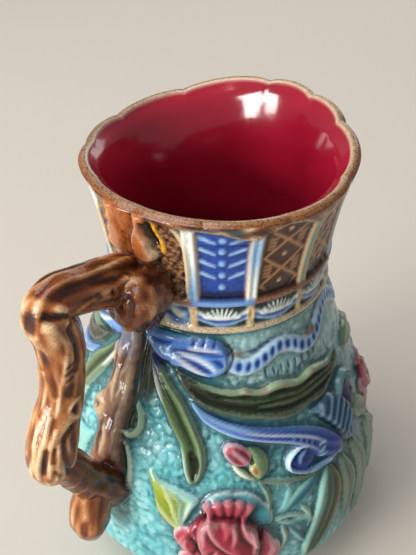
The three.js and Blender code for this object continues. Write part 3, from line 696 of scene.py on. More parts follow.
def shell_and_curl(c):
    """The fluted shell beside the scroll's end, and the curl behind it."""
    outer = [(79, 103.4), (85, 105.6), (89.6, 106.2), (95, 103.6), (99, 99), (101.4, 93), (101.6, 86),
             (98.6, 78)]
    hinge = [(79, 103.4), (84, 97), (88, 91), (91, 85), (93, 80), (98.6, 78)]
    pick, inner, u, t = c.between(outer, hinge)
    flutes = np.cos(2 * math.pi * 9.5 * (t + 0.07 * u))
    paint = blend(mix(NAVY, TEAL, 0.5), PALE_BLUE * 0.7, 0.6 * smooth(0.3, 0.95, flutes))
    paint = blend(paint, mix(WHITE, TEAL, 0.3), smooth(0.8, 0.93, u))
    high = 3.3 * smooth(-0.4, 1.8, inner) + 0.4 * flutes * smooth(0.5, 2, inner)
    c.lay(pick, high, smooth(-0.3, 0.5, inner), paint)
    leaf(c, [(98, 103), (103, 106), (107, 103), (107, 95), (103, 87)],
         [(98, 103), (100.5, 98), (101, 92), (103, 87)], 3.4,
         [(-1, NAVY), (0, NAVY), (0.6, mix(NAVY, TEAL, 0.5)), (1, PALE_BLUE)], 0.3)
    bar(c, [(94.5, 101), (98, 105.4), (102.5, 107), (107, 104.6), (108.6, 100)], 2.0, 4.4,
        [(-1, PALE_BLUE), (-0.3, TEAL * 0.6), (0.5, TEAL), (1, PALE_AQUA)], "blunt")
    dot(c, (106.4, 96.6), 2.1, mix(ORANGE, CREAM, 0.35), 1.4)


def scroll(c):
    """The blue scroll with its white ridges, which starts narrow and ends in the volute."""
    upper = [(27, 117.4), (40, 110.8), (50, 107.2), (60, 104.4), (70, 101.4), (78, 97.8), (85, 92.8),
             (90, 87), (92, 82), (90.5, 78.4)]
    lower = [(27, 117.4), (34, 108.4), (45, 102), (55, 98.4), (65, 94.8), (71, 91.2), (75, 87.5),
             (78, 83), (84, 79.6), (90.5, 78.4)]
    pick, inner, u, t = c.between(upper, lower)
    paint = ramp(u, [(-1, WHITE), (-0.93, PALE_BLUE), (-0.84, BLUE), (-0.66, BLUE), (-0.58, PALE_BLUE),
                     (-0.53, WHITE), (-0.46, BLUE), (-0.05, DEEP_BLUE), (0.06, MID_BLUE), (0.12, WHITE),
                     (0.18, WHITE), (0.26, DEEP_BLUE), (0.5, DEEP_BLUE), (0.56, MID_BLUE),
                     (0.62, DEEP_BLUE), (0.82, DEEP_BLUE), (0.92, PALE_BLUE), (1, WHITE)])
    narrow = ramp(u, [(-1, WHITE), (-0.65, PALE_BLUE), (-0.25, MID_BLUE), (0.1, BLUE), (0.5, PALE_BLUE),
                      (0.8, DEEP_BLUE), (1, MID_BLUE)])
    paint = blend(narrow, paint, smooth(0.2, 0.36, t))
    paint = blend(paint, DEEP_BLUE, smooth(0.6, 0.76, t) * smooth(0.95, 0.85, np.abs(u)))
    ticks = smooth(0.1, 0.8, np.cos(t * 130)) * edge((u + 0.22) / 0.15, 0.6, 1.1)
    ticks = ticks * smooth(0.42, 0.5, t) * smooth(0.72, 0.62, t)
    paint = blend(paint, PALE_BLUE, 0.5 * ticks)
    half = inner / np.maximum(0.1, 1 - np.abs(u))
    wide = np.maximum(0.09, 0.8 / np.maximum(half, 1))
    crests = sum(np.exp(-((u - at) / wide) ** 2) for at in (-0.93, -0.5, 0.16, 0.92)) * smooth(1.5, 5, half)
    high = 3.0 * smooth(-0.4, 1.6, inner) + 1.0 * crests * smooth(-0.2, 0.8, inner) + 0.35 * ticks
    c.lay(pick, high, smooth(-0.3, 0.5, inner), paint)


def volute(c):
    """The scroll's end, curled round a deep blue eye."""
    petal(c, (72, 85.6), (6.2, 5), -10, 3.0, [(0, NAVY), (0.6, DEEP_BLUE), (1, DEEP_BLUE)], rim=0)
    curl = [(76, 90.4), (70.4, 91.4), (66.2, 88.4), (66, 84.4), (69, 81.4), (74, 79.4), (80, 78.8),
            (86, 79.6), (91, 78.6)]
    bar(c, curl, 1.2, 4.7, [(-1, PALE_BLUE), (-0.5, WHITE), (0, PALE_BLUE), (0.4, BLUE), (1, BLUE)],
        "blunt")
    stroke(c, [(73.6, 90), (70.4, 88), (70, 84.6)], 1.1, mix(MID_BLUE, PALE_BLUE, 0.35), raised=0.9)
    for i, z in enumerate((83.4, 86, 88.6)):
        stroke(c, [(77.6 + 0.5 * i, z), (81.4 + 0.4 * i, z + 0.6)], 0.75, PALE_BLUE, "blunt", raised=0.4)


def bud_and_stems(c):
    """The pink bud in its green sepals, and the thin stems and leaf outlines round it."""
    stem = [(-1, PALE_LEAF), (-0.3, LEAF), (0.3, DARK_LEAF), (1, PALE_LEAF)]
    teal_leaf = [(-1, PALE_AQUA), (-0.6, TEAL), (0, TEAL), (0.4, mix(TEAL, AQUA, 0.6)), (1, PALE_LEAF)]
    leaf(c, [(61, 61), (66, 69), (72, 74), (79, 77)], [(61, 61), (69, 64), (76, 69), (79, 77)], 1.9,
         teal_leaf, 0.5)
    leaf(c, [(59.5, 61.4), (62.5, 67), (64.5, 72), (65.5, 77)],
         [(59.5, 61.4), (65, 65), (67, 71), (65.5, 77)], 1.6,
         [(-1, PALE_LEAF), (0, AQUA), (1, PALE_AQUA)], 0.6)
    for spine, half in (([(59, 60.5), (66, 60), (71, 56)], 1.2), ([(60, 59), (66, 55), (70, 48)], 1.2),
                        ([(62, 56), (63.5, 48), (62, 40)], 1.4), ([(70, 62), (73, 56), (72, 48)], 1.5)):
        bar(c, spine, half, 1.5, [(-1, PALE_AQUA), (0, PALE_LEAF), (1, TEAL)], "leaf")
    leaf(c, [(63, 57), (72, 57), (77, 49), (75, 36)], [(63, 57), (66, 48), (70, 40), (75, 36)], 1.7,
         teal_leaf, 0.5, ribs=3)
    bar(c, [(54.6, 81.6), (60, 79.6), (66, 77.8), (72, 76.8), (77.5, 76.8)], 1.4, 2.2, stem, "blunt")
    bar(c, [(54.4, 81.4), (57, 76.5), (58, 70), (57.4, 63)], 1.1, 1.9, stem, "blunt")
    bud = [(0, CRIMSON), (0.5, mix(CRIMSON, ROSE, 0.6)), (0.8, ROSE), (0.92, mix(PINK, PALE_BLUE, 0.3)),
           (1, PINK)]
    petal(c, (47.3, 94.8), (6.4, 4.3), -40, 3.9, bud, ribs=3)
    for spine, half in (
            ([(43.4, 96.4), (46.4, 93), (49.4, 90)], 1.1),
            ([(46.2, 98.6), (49.6, 95.6), (52, 92)], 1.0)):
        stroke(c, spine, half, mix(CRIMSON, PLUM, 0.4), raised=-0.6)
    for spine, half in (
            ([(42.6, 94.6), (45.4, 91.6), (48.2, 89)], 0.9),
            ([(45, 97.6), (48.4, 94.4), (51.4, 91)], 0.9)):
        stroke(c, spine, half, mix(PINK, PALE_BLUE, 0.35), raised=0.5, strength=0.45)
    leaf(c, [(49.4, 98.4), (54.6, 97.4), (58.6, 92.6), (58.4, 86), (54.4, 81.4)],
         [(49.4, 98.4), (51.6, 93.6), (52.4, 89.4), (52.4, 85), (54.4, 81.4)], 4.1,
         [(-1, mix(LIME, PALE_LEAF, 0.5)), (-0.6, MID_LEAF), (-0.1, LEAF),
          (0.35, mix(LEAF, MID_LEAF, 0.5)), (0.8, MID_LEAF), (1, PALE_LEAF)], 0.1, ribs=2)
    leaf(c, [(44.4, 91.4), (48.4, 89.4), (51.4, 86.6), (54.4, 81.4)],
         [(44.4, 91.4), (46.4, 86.4), (50, 83), (54.4, 81.4)], 3.3,
         [(-1, WHITE), (-0.5, CREAM), (0, mix(WHITE, PALE_LEAF, 0.5)), (0.6, MID_LEAF), (1, PALE_LEAF)],
         0.2)
    petal(c, (53.2, 87.2), (3.2, 1.8), -62, 3.7, [(0, DARK_BROWN), (0.45, mix(DARK_BROWN, YELLOW, 0.3)),
                                              (0.7, mix(OLIVE, YELLOW, 0.6)), (1, PALE_LEAF)], rim=0.3)


def placed(at, scale, points):
    """Points given for the flower by the handle, in degrees and millimetres from its middle."""
    spread = scale * BELLY_RADIUS / float(profile(np.array(at[1])))
    return [(at[0] + x * spread, at[1] + y * scale) for x, y in points]


def fan(c, at, reach, start, stop, flutes, height, groove, crest, rim):
    """Flutes that spread from a place to round tips. start and stop are directions in degrees."""
    pick, x, y = c.local(at, reach * 1.15)
    off = np.hypot(x, y)
    share = ((np.arctan2(y, x) / DEG - start + 90) % 360 - 90) / (stop - start)
    tips = np.abs(np.sin(math.pi * flutes * share))
    end = reach * (0.94 + 0.06 * tips ** 0.5)
    spread = smooth(-0.02, 0.03, share) * smooth(1.02, 0.97, share)
    inner = end - off
    high = height * smooth(-0.3, 1.6, inner) * (0.8 + 0.2 * tips ** 0.7) * spread
    paint = blend(groove, crest, smooth(0.25, 0.95, tips) * smooth(0.45, 0.8, off / reach))
    paint = blend(paint, rim, smooth(0.09, 0.02, inner / reach) * 0.9)
    c.lay(pick, high, smooth(-0.2, 0.5, inner) * spread, paint)


def peony(c, at, scale):
    """A full blossom: fringed back petals, side petals and a tight heart with folded edges."""
    def part(left, right, height, colours, hollow=0.2, ribs=0):
        leaf(c, placed(at, scale, left), placed(at, scale, right), height * scale, colours, hollow,
             ribs=ribs)

    def fold(points, half, paint, raised):
        stroke(c, placed(at, scale, points), half * scale, paint, raised=raised * scale)

    fringe = [(0, CRIMSON), (0.5, mix(CRIMSON, ROSE, 0.5)), (0.78, ROSE), (0.9, PINK), (0.97, WHITE),
              (1, WHITE)]
    fan(c, placed(at, scale, [(1.6, 4)])[0], 18.4 * scale, -6, 132, 3, 2.2 * scale, TEAL,
        mix(AQUA, TEAL, 0.7), WHITE)
    fan(c, placed(at, scale, [(0.4, 0.4)])[0], 19 * scale, 50, 128, 5, 4.4 * scale, CRIMSON * 0.8, ROSE,
        mix(ROSE, PINK, 0.75))
    for x, y, length, width, turn in ((-13, -2, 6, 6, 190), (13, -12, 7, 6.5, -40), (-11, -16, 7, 6.5, 220),
                                      (0, -20, 7, 7, 270)):
        centre = placed(at, scale, [(x, y)])[0]
        petal(c, centre, (length * scale, width * scale), turn, 3.6 * scale, fringe, ribs=11, rim=0.6)
    side = [(-1, WHITE), (-0.86, PINK), (-0.6, ROSE), (0, CRIMSON), (0.5, ROSE), (1, CRIMSON)]
    part([(-7, 14), (-8, 9), (-9, 3), (-9, -6), (-6, -20)],
         [(-7, 14), (-12, 5), (-15.4, -1), (-15.6, -8), (-6, -20)], 4.6, side, ribs=3)
    part([(12, 2), (15.4, -5), (16.6, -13), (8, -24)], [(12, 2), (9, -6), (6, -14), (8, -24)], 4.4,
         [(-1, CRIMSON), (0.3, ROSE), (0.8, PINK), (1, WHITE)], ribs=2)
    heart = [(-1, WHITE), (-0.93, PINK), (-0.8, ROSE), (-0.3, mix(CRIMSON, ROSE, 0.45)), (0.3, CRIMSON),
             (0.75, CRIMSON * 0.7), (0.93, CRIMSON), (1, CRIMSON)]
    part([(-6.5, 12.5), (2.4, 11.6), (9.4, 6), (11, -5), (9, -15), (2, -23)],
         [(-6.5, 12.5), (-9.6, 7), (-10, -1), (-8, -10), (-4, -17), (2, -23)], 6.4, heart, -0.12, ribs=2)
    # Folds: a dark groove with a pale pink edge beside it. The pale edges and the pale strokes after them
    # are partly pink in the glaze and partly painted highlights.
    for points, half in (
            ([(-7, 13.5), (-6, 5), (-2, -3), (3.5, -8)], 1.2),
            ([(3.6, 11), (5, 3), (8, -3), (9.6, -6)], 1.3), ([(-4, -4), (-5, -10), (-2, -16)], 1.0),
            ([(-12, 1), (-9.6, -6), (-11, -13)], 0.9)):
        fold(points, half + 0.7, CRIMSON * 0.5, -0.8)
        fold([(x + 1, y + 0.5) for x, y in points], half * 0.85, mix(ROSE, PINK, 0.35), 0.9)
    fold([(-1.4, 11), (0, 7), (-1, 2)], 1.6, ROSE * 1.15, 0.4)
    for points in (
            [(-6.4, 10), (-7.4, 4), (-7, -3)], [(1.4, 9), (2.4, 4), (1.4, -2)],
            [(7, 6), (8.6, 0), (8, -8)], [(-13.4, -2), (-13.6, -7), (-10.6, -13)],
            [(13.4, -3), (14.6, -9), (12.4, -16)]):
        fold(points, 0.9, mix(ROSE, PINK, 0.7), 0.35)
    fold([(1, 0), (3, -6), (2, -12)], 1.6, ROSE, 0.3)


def lime_leaf(c):
    """The lime and pale green leaf beside the handle, all aqua on the far side."""
    leaf(c, [(13.8, 83), (20, 79.6), (27, 78), (33.8, 73.6), (31.8, 68), (29.6, 62), (28, 55)],
         [(13.8, 83), (16.2, 76), (17.8, 69), (19.6, 63.6), (23, 59), (28, 55)], 2.6,
         [(-1, PALE_LEAF), (-0.86, LIME), (-0.5, mix(LIME, LEAF, 0.35)), (-0.2, LIME),
          (0.1, mix(LIME, LEAF, 0.25)), (0.3, mix(PALE_LEAF, LIME, 0.4)), (0.45, MID_LEAF),
          (0.6, mix(PALE_LEAF, PALE_AQUA, 0.4)), (0.78, mix(AQUA, MID_LEAF, 0.4)), (0.93, PALE_AQUA),
          (1, WHITE)], 0.35, ribs=5)
    for tip, middle, paint in (
            ((15.6, 77), (21.6, 68), mix(LIME, LEAF, 0.6)),
            ((18.2, 69), (23, 63), mix(LIME, WHITE, 0.4)), ((20, 64), (23.6, 60), mix(LIME, LEAF, 0.6)),
            ((20.6, 78), (24.6, 68), mix(LIME, WHITE, 0.5)),
            ((26, 76.6), (27.6, 67), mix(LEAF, AQUA, 0.4)),
            ((31, 73), (29.4, 65), mix(PALE_LEAF, WHITE, 0.5))):
        stroke(c, [tip, middle, (27.4, 57)], 0.9, paint, "leaf", raised=0.35, strength=0.7)
    stroke(c, [(20, 60.5), (24, 58.6), (27, 57)], 1.8, mix(CREAM, PALE_LEAF, 0.5), strength=0.8)
    pick, x, y = c.local((-20, 72), 22, False)
    c.tint(pick, 0.8 * edge(np.hypot(x / 17, y / 17), 0.6, 1.0), mix(AQUA, PALE_AQUA, 0.3))


def lower_leaves(c):
    """The leaves on the belly: the lime one, a turned one, and long plain ones towards the far side."""
    lime_leaf(c)
    for spine, half in (
            ([(13.4, 46.5), (17, 45.6), (18.6, 43)], 1.9), ([(17, 47.6), (21, 49.6), (28, 47.8)], 1.6),
            ([(12, 37), (17, 35), (21, 31)], 1.6)):
        stroke(c, spine, half, mix(TEAL, AQUA, 0.25), raised=-0.5, strength=0.8)
    turned = [(-1, PALE_AQUA), (-0.84, mix(AQUA, PALE_LEAF, 0.5)), (-0.5, mix(TEAL, MID_LEAF, 0.45)),
              (-0.1, mix(LEAF, TEAL, 0.3)), (0.3, LEAF), (0.55, OLIVE), (0.8, mix(OLIVE, TAN, 0.4)),
              (0.92, DARK_LEAF), (1, CREAM)]
    leaf(c, [(83, 78), (87.4, 70), (88.4, 61), (86.6, 51), (82.6, 41), (77, 33), (71, 27)],
         [(83, 78), (78.4, 70), (76, 61), (73.6, 52), (71, 43), (70, 35), (71, 27)], 3.4, turned, 0.4,
         ribs=4)
    dusky = [(-1, PALE_LEAF), (-0.6, GREY_GREEN), (0, mix(LEAF, OLIVE, 0.5)), (0.3, GREY_GREEN),
             (0.8, MID_LEAF), (1, PALE_LEAF)]
    for spine in (
            [(90, 76), (93.5, 56), (91, 34)], [(98, 78), (103, 56), (98, 30)],
            [(112, 76), (116, 60), (112, 40)], [(112, 72), (124, 56), (126, 32)],
            [(164, 120), (150, 88), (146, 58), (150, 30)], [(104, 90), (112, 82), (118, 80)],
            [(112, 114), (126, 113), (142, 106), (156, 96)]):
        bar(c, spine, 5, 3.2, dusky, hollow=1, ridges=4)


def spout_shell(c):
    """The fluted fan under the spout."""
    fan(c, (180, 90), 28, 20, 160, 6, 3.4, BLUE, PALE_BLUE, WHITE)


def rough_wood(c, left, right, height, colours, seed):
    """A piece of the branch between two edges on the body, with rough bark that runs along it."""
    leaf(c, left, right, height, colours, hollow=0.0, mirrored=False, roll=3.2, speckle=0.25)
    pick, inner, _, _ = c.between(left, right, False)
    points = body_point(c.bearing[pick], c.z[pick], 0)
    long_grain = wobble(points * (1, 1, 0.35), 4.4, seed=seed)
    fine_grain = wobble(points * (1, 1, 0.6), 2.6, seed=seed + 1)
    cover = smooth(0.2, 1.8, inner)
    c.add(pick, cover * (0.34 * long_grain + 0.14 * fine_grain))
    tone = 0.6 * long_grain + 0.4 * fine_grain
    c.tint(pick, cover * smooth(-0.1, -1.4, tone) * 0.6, mix(DARK_BROWN, BROWN, 0.4))
    c.tint(pick, cover * smooth(96, 78, c.z[pick]) * 0.75, BROWN)
    c.tint(pick, cover * smooth(0.3, 1.5, tone) * 0.6, mix(TAN, CREAM, 0.4))


def body_branch(c):
    """The knotty branch that climbs the body behind the handle, on one side only."""
    # Across the branch: a cream outline on the edge at the smaller bearing. The dark brown along the edge
    # at the larger bearing is painted shade on the side turned from the window.
    across = [(-1, mix(CREAM, AQUA, 0.3)), (-0.9, mix(TAN, CREAM, 0.5)), (-0.74, WORN_WOOD),
              (0.6, WORN_WOOD), (0.9, WORN_WOOD * 0.7), (1, DARK_BROWN)]
    left = [(-1, 143), (3.4, 132), (2.6, 120), (4, 108), (2.8, 97), (3.2, 84), (4, 72), (-4, 58)]
    right = [(-14, 142), (-12.6, 132), (-13.6, 124), (-12, 115), (-13, 108), (-16.4, 102), (-15.4, 95),
             (-12, 90), (-12.5, 82), (-13, 72), (-4, 58)]
    rough_wood(c, left, right, 4.4, across, 61)
    pick, x, y = c.local((-12, 100), 8, False)
    knot = np.hypot(x / 5.5, y / 6.5)
    c.add(pick, 1.3 * smooth(1, 0.3, knot) - 0.8 * smooth(0.4, 0.1, knot))
    c.tint(pick, smooth(1, 0.7, knot) * 0.7, mix(TAN, CREAM, 0.35), 0.3)
    c.tint(pick, smooth(0.5, 0.2, knot) * 0.85, DARK_BROWN)
    for spine, half in (
            ([(-7.5, 96), (-8.4, 87), (-7, 78)], 1.5), ([(-3, 128), (-5, 118), (-3.6, 108)], 1.2),
            ([(-9.6, 124), (-8.4, 116), (-9.6, 110)], 1.4), ([(-1.4, 106), (-3, 98), (-2, 88)], 1.3),
            ([(-12.6, 92), (-10.4, 84), (-10.8, 76)], 1.2)):
        stroke(c, spine, half, DARK_BROWN, mirrored=False, raised=-0.9, strength=0.85)
    for spine, half in (
            ([(-12, 130), (-11.6, 122), (-12.8, 116)], 1.3), ([(-6, 120), (-6.6, 112), (-5, 104)], 1.4),
            ([(-5.6, 94), (-5, 86), (-6, 78)], 1.3), ([(-15, 99), (-13.4, 94), (-11.6, 90)], 1.3),
            ([(0.6, 124), (0.4, 114), (1, 106)], 1.2)):
        stroke(c, spine, half, mix(TAN, CREAM, 0.55), mirrored=False, raised=0.5, strength=0.7)
    for z in (128, 133, 138):
        stroke(c, [(-12, z), (-5, z + 1.6), (2, z + 0.6)], 4.4, mix(MID_BLUE, GREY_GREEN, 0.5),
               mirrored=False, strength=0.4)


def carve(c):
    """The whole of the relief, from the ground up, each form over those before it."""
    ground(c)
    lower_leaves(c)
    bud_and_stems(c)
    peony(c, (43, 56.5), 1)
    peony(c, (127, 88), 0.55)
    peony(c, (180, 61), 0.85)
    spout_shell(c)
    shell_and_curl(c)
    scroll(c)
    volute(c)
    long_leaves(c)
    strap(c)
    body_branch(c)
    c.high *= smooth(FOOT_HEIGHT, FOOT_HEIGHT + 10, c.z)
    neck_points = c.z >= NECK_HEIGHT - RING_HALF
    c.high[neck_points] *= 0.12
    c.paint[neck_points] = AQUA
    neck(c)


# Grids of points: rows by height, columns by bearing. A sheet is rolled into a tube, and then each of
# its points is moved to its own place in the grid. OWN marks the points that a piece had from the start,
# apart from those that joining makes. The gaps are how close points are merged, in metres.
OWN = 2
ROLL_GAP = 1e-4
SEAM_GAP = 1e-7


def bearings(samples=1):
    """Bearings of the columns, closer together where the carving is seen best."""
    b = np.interp(np.arange(COLUMNS * samples) / samples, *COLUMN_BEARINGS)
    return (b + 180) % 360 - 180


def averaged(grid):
    """The samples of the carving brought together, each point's own counting most."""
    weights = np.array([1, 2, 3, 2, 1]) / 9
    reach = SAMPLES - 1
    padded = np.concatenate([grid[:1]] * reach + [grid] + [grid[-1:]] * reach)
    rows = sum(w * padded[i:i + len(grid)] for i, w in enumerate(weights))[::SAMPLES]
    return sum(w * np.roll(rows, reach - i, axis=1) for i, w in enumerate(weights))[:, ::SAMPLES]


def room_for_carving(bearing, radius):
    """How far the carving may stand out before it leaves the solid's own box."""
    aside = HALF_WIDTH / np.maximum(np.abs(np.sin(bearing * DEG)), 0.1)
    ahead = FRONT_REACH / np.maximum(-np.cos(bearing * DEG), 0.1)
    return np.maximum(0.3, np.minimum(aside, ahead) - radius)


def select_only(piece):
    bpy.ops.object.select_all(action="DESELECT")
    bpy.context.view_layer.objects.active = piece
    piece.select_set(True)


def sew(piece, gap):
    """Merges the points that lie together and turns all faces outwards."""
    select_only(piece)
    bpy.ops.object.mode_set(mode="EDIT")
    bpy.ops.mesh.select_all(action="SELECT")
    bpy.ops.mesh.remove_doubles(threshold=gap)
    bpy.ops.mesh.normals_make_consistent(inside=False)
    bpy.ops.object.mode_set(mode="OBJECT")


def blank_tube(name, rows, columns):
    """A sheet rolled up and sewn into a tube, and the row and column of each of its points."""
    bpy.ops.object.select_all(action="DESELECT")
    bpy.ops.mesh.primitive_grid_add(x_subdivisions=columns, y_subdivisions=rows - 1, size=2)
    piece = bpy.context.object
    piece.name = name
    across, up, _ = points_of(piece).T
    roll = across * math.pi
    move_points(piece, np.stack([np.cos(roll), np.sin(roll), up * rows], -1))
    sew(piece, ROLL_GAP)
    x, y, z = points_of(piece).T
    row = np.rint((z / rows + 1) / 2 * (rows - 1)).astype(int)
    column = np.rint(np.arctan2(y, x) / (2 * math.pi) * columns).astype(int) % columns
    return piece, row, column


def points_of(piece):
    co = np.empty(len(piece.data.vertices) * 3, np.float32)
    piece.data.vertices.foreach_get("co", co)
    return co.reshape(-1, 3).astype(float)


def move_points(piece, points):
    piece.data.vertices.foreach_set("co", points.astype(np.float32).ravel())
    piece.data.update()


def keep_looks(piece, paint, pool, speckle, wood):
    """Keeps the colour of the glaze at each point of the piece, and its other values."""
    count = len(piece.data.vertices)
    colours = np.column_stack([np.broadcast_to(paint, (count, 3)), np.ones(count)])
    layer = piece.data.attributes.new("paint", "FLOAT_COLOR", "POINT")
    layer.data.foreach_set("color", colours.astype(np.float32).ravel())
    for name, values in (("pool", pool), ("speckle", speckle), ("wood", wood), ("own", OWN)):
        layer = piece.data.attributes.new(name, "FLOAT", "POINT")
        layer.data.foreach_set("value", np.broadcast_to(values, count).astype(np.float32))


def blurred(grid, reach):
    """The grid's own soft average over some rows and columns."""
    steps = range(-3 * reach, 3 * reach + 1)
    weights = np.exp(-0.5 * (np.array(steps) / reach) ** 2)
    weights /= weights.sum()
    out = np.zeros_like(grid)
    for step, weight in zip(steps, weights):
        out += weight * np.roll(grid, step, axis=1)
    padded = np.pad(out, ((3 * reach, 3 * reach), (0, 0)), mode="edge")
    total = np.zeros_like(out)
    for i, weight in enumerate(weights):
        total += weight * padded[i:i + len(out)]
    return total


def outer_rows():
    """Heights of the rows, closer together where the carving is finest."""
    foot = [0, 1.2, 2.6, FOOT_HEIGHT]
    below = np.linspace(FOOT_HEIGHT, BODY_ROWS[1][0], 11)[1:-1]
    body = np.interp(np.arange(BODY_ROWS[0][-1] + 1), *BODY_ROWS)
    above = np.linspace(NECK_HEIGHT - RING_HALF, HEIGHT - 1.2, 62)[1:]
    return np.concatenate([foot, below, body, above])


def ring(points, paint, pool=0, speckle=0):
    """A closed row of points with the same glaze all round."""
    count = len(points)
    return (points, np.broadcast_to(paint, (count, 3)), np.full(count, float(pool)),
            np.full(count, float(speckle)))


def outside_rows(b):
    """The carved outside from the foot up. The carving is worked out on a finer grid than the mesh."""
    z = outer_rows()
    between = np.interp(np.arange(0, len(z) - 1 + 1e-6, 1 / SAMPLES), np.arange(len(z)), z)
    sample_b, sample_z = np.meshgrid(bearings(SAMPLES), between)
    c = Carving(sample_b.ravel(), sample_z.ravel())
    carve(c)
    shape = sample_b.shape
    high = averaged(c.high.reshape(shape))
    high[0] = 0
    grid_b, grid_z = np.meshgrid(b, z)
    room = room_for_carving(grid_b, profile(grid_z))
    squeezed = high / (1 + (np.maximum(high, 0) / room) ** SQUEEZE) ** (1 / SQUEEZE)
    high = np.where(high > 0, squeezed, high)
    pool = 1.1 * (high - blurred(high, 1)) + 0.6 * (high - blurred(high, 4))
    paint = averaged(c.paint.reshape(*shape, 3))
    speckle = averaged(c.speckle.reshape(shape))
    return list(zip(body_point(grid_b, grid_z, high), paint, pool, speckle))


def rim_rows(b):
    """The lip, rolled over from the outside to the inside."""
    lip_brown = mix(BROWN, TAN, 0.25)
    bend = LIP_THICKNESS / 2
    rows = []
    for turn, paint, pool, speckle in (
            (25, mix(BROWN, TAN, 0.2), 0, 0.8), (50, lip_brown, 0, 0.9),
            (75, mix(lip_brown, CREAM, 0.12), 0.1, 0.9), (100, mix(lip_brown, CREAM, 0.28), 0.1, 0.8),
            (125, mix(lip_brown, CREAM, 0.5), 0.2, 0.5), (152, mix(ROSE, CREAM, 0.35), 0.1, 0.25),
            (180, INSIDE, 0, 0)):
        out = 1 - bend + bend * math.cos(turn * DEG)
        points = body_point(b, np.full(len(b), float(HEIGHT)), out)
        points[:, 2] += bend * (math.sin(turn * DEG) - 1)
        rows.append(ring(points, paint, pool, speckle))
    return rows


def inside_rows(b, flat):
    """The inside, from the lip down to the middle of the floor. flat is a circle of radius 1."""
    rows = []
    for height in (*(HEIGHT - down for down in (4, 8, 13, 20, 32)), 155, 145, 128, 104, 80, 52, 30, 15):
        thicker = THICKER_BELOW * smooth(HEIGHT - 2, HEIGHT - 22, height)
        thickness = WALL + thicker * (1 - 0.6 * smooth(170, 140, height))
        scalloped = mix(0.15, 0.8, smooth(HEIGHT - 10, HEIGHT, height))
        rows.append(ring(body_point(b, np.full(len(b), float(height)), -thickness, scalloped), INSIDE))
    floor_edge = FOOT_RADIUS - WALL
    for radius, rise in ((floor_edge, 2), (38, 0), (12, 0), (0, 0)):
        rows.append(ring(flat * radius + (0, 0, FLOOR_THICKNESS + rise), INSIDE))
    return rows


def vessel():
    """The body, neck, lip and inside wall as one closed skin."""
    b = bearings()
    spout = (b - 180) * DEG
    flat = np.stack([np.cos(spout), np.sin(spout), np.zeros(len(b))], -1)
    under = [ring(flat * radius, BISCUIT) for radius in (0, 24, 44, 47)]
    rows = under + outside_rows(b) + rim_rows(b) + inside_rows(b, flat)
    points, paint, pool, speckle = (np.stack(values) for values in zip(*rows))
    piece, row, column = blank_tube("vessel", len(rows), COLUMNS)
    move_points(piece, points[row, column] * MM)
    keep_looks(piece, paint[row, column], pool[row, column], speckle[row, column], 0)
    sew(piece, SEAM_GAP)
    return piece


# The branch handle. Its limbs are tubes along curves in the upright plane of the handle, given as
# (out, height, thickness as a share of the handle's, step to the side).

MAIN_LIMB = [(42.5, 157, 1.15, 3), (56.5, 168, 1.2, 1), (67.5, 172.5, 1.1, 0), (78, 175.5, 1.02, 0),
             (87.5, 177, 1.0, 0), (92.5, 172.5, 0.98, 0), (89, 161, 1.06, 0), (89, 148, 1.0, 0),
             (91, 135, 0.97, 0), (95, 124.3, 1.05, 0), (98.6, 114.4, 1.14, 0), (101, 106.5, 1.08, 0),
             (101.6, 98.6, 0.72, 0)]
LOWER_LIMB = [(99, 107, 0.75, 0), (93, 96, 0.84, 0), (86.5, 84, 0.86, 0), (79.5, 73.5, 0.95, 0),
              (71, 65, 1.08, 0)]
STUB = [(81, 76, 0.85, 0), (85.5, 64, 0.98, 0), (87, 55, 0.94, 0), (86.5, 47.6, 0.55, 0)]
BOSS = (55.5, 163.4, 1.22, 8.4)
TOP_KNOT = (50, 171, 0.86, 1.5)

# The grain of the bark is drawn out along a limb by this
GRAIN_STRETCH = 0.16

WOOD = [(-1.5, srgb(38, 18, 10)), (-0.8, srgb(80, 38, 18)), (-0.15, srgb(124, 64, 30)),
        (0.3, srgb(154, 90, 46)), (0.75, srgb(190, 134, 86)), (1.3, srgb(226, 192, 150))]


def facets(turn, faces):
    """A rounded many-sided section. faces are (direction in degrees, distance)."""
    total = sum((np.maximum(0, np.cos((turn - at) * DEG)) / far) ** 10 for at, far in faces)
    return total ** -0.1 - 1


def ridge(turn, at, wide):
    """A ridge along a limb at a turn round it, in degrees: 1 on its crest."""
    off = (turn - at + 180) % 360 - 180
    return np.exp(-(off / wide) ** 2)


def patch(t, turn, at, size, soft=0.55):
    """An oval place on a limb: 1 in its middle. at and size are shares of the length and degrees."""
    off = (turn - at[1] + 180) % 360 - 180
    return edge(np.hypot((t - at[0]) / size[0], off / size[1]), soft, 1.0)


def mark(t, turn, spine, half):
    """A mark along a line on the main limb: 1 on the line, fading to 0 about its half width away."""
    line = spline(spine, 5) * (LIMB_LENGTH, LIMB_GIRTH)
    x = t * LIMB_LENGTH
    y = ((turn + 180) % 360 - 180) * LIMB_GIRTH
    nearest = np.full(t.shape, 1e9)
    for (ax, ay), (bx, by) in zip(line[:-1], line[1:]):
        dx, dy = bx - ax, by - ay
        along = clamp(((x - ax) * dx + (y - ay) * dy) / (dx * dx + dy * dy))
        nearest = np.minimum(nearest, np.hypot(x - ax - dx * along, y - ay - dy * along))
    return 1 - smooth(0.35 * half, 1.2 * half, nearest)


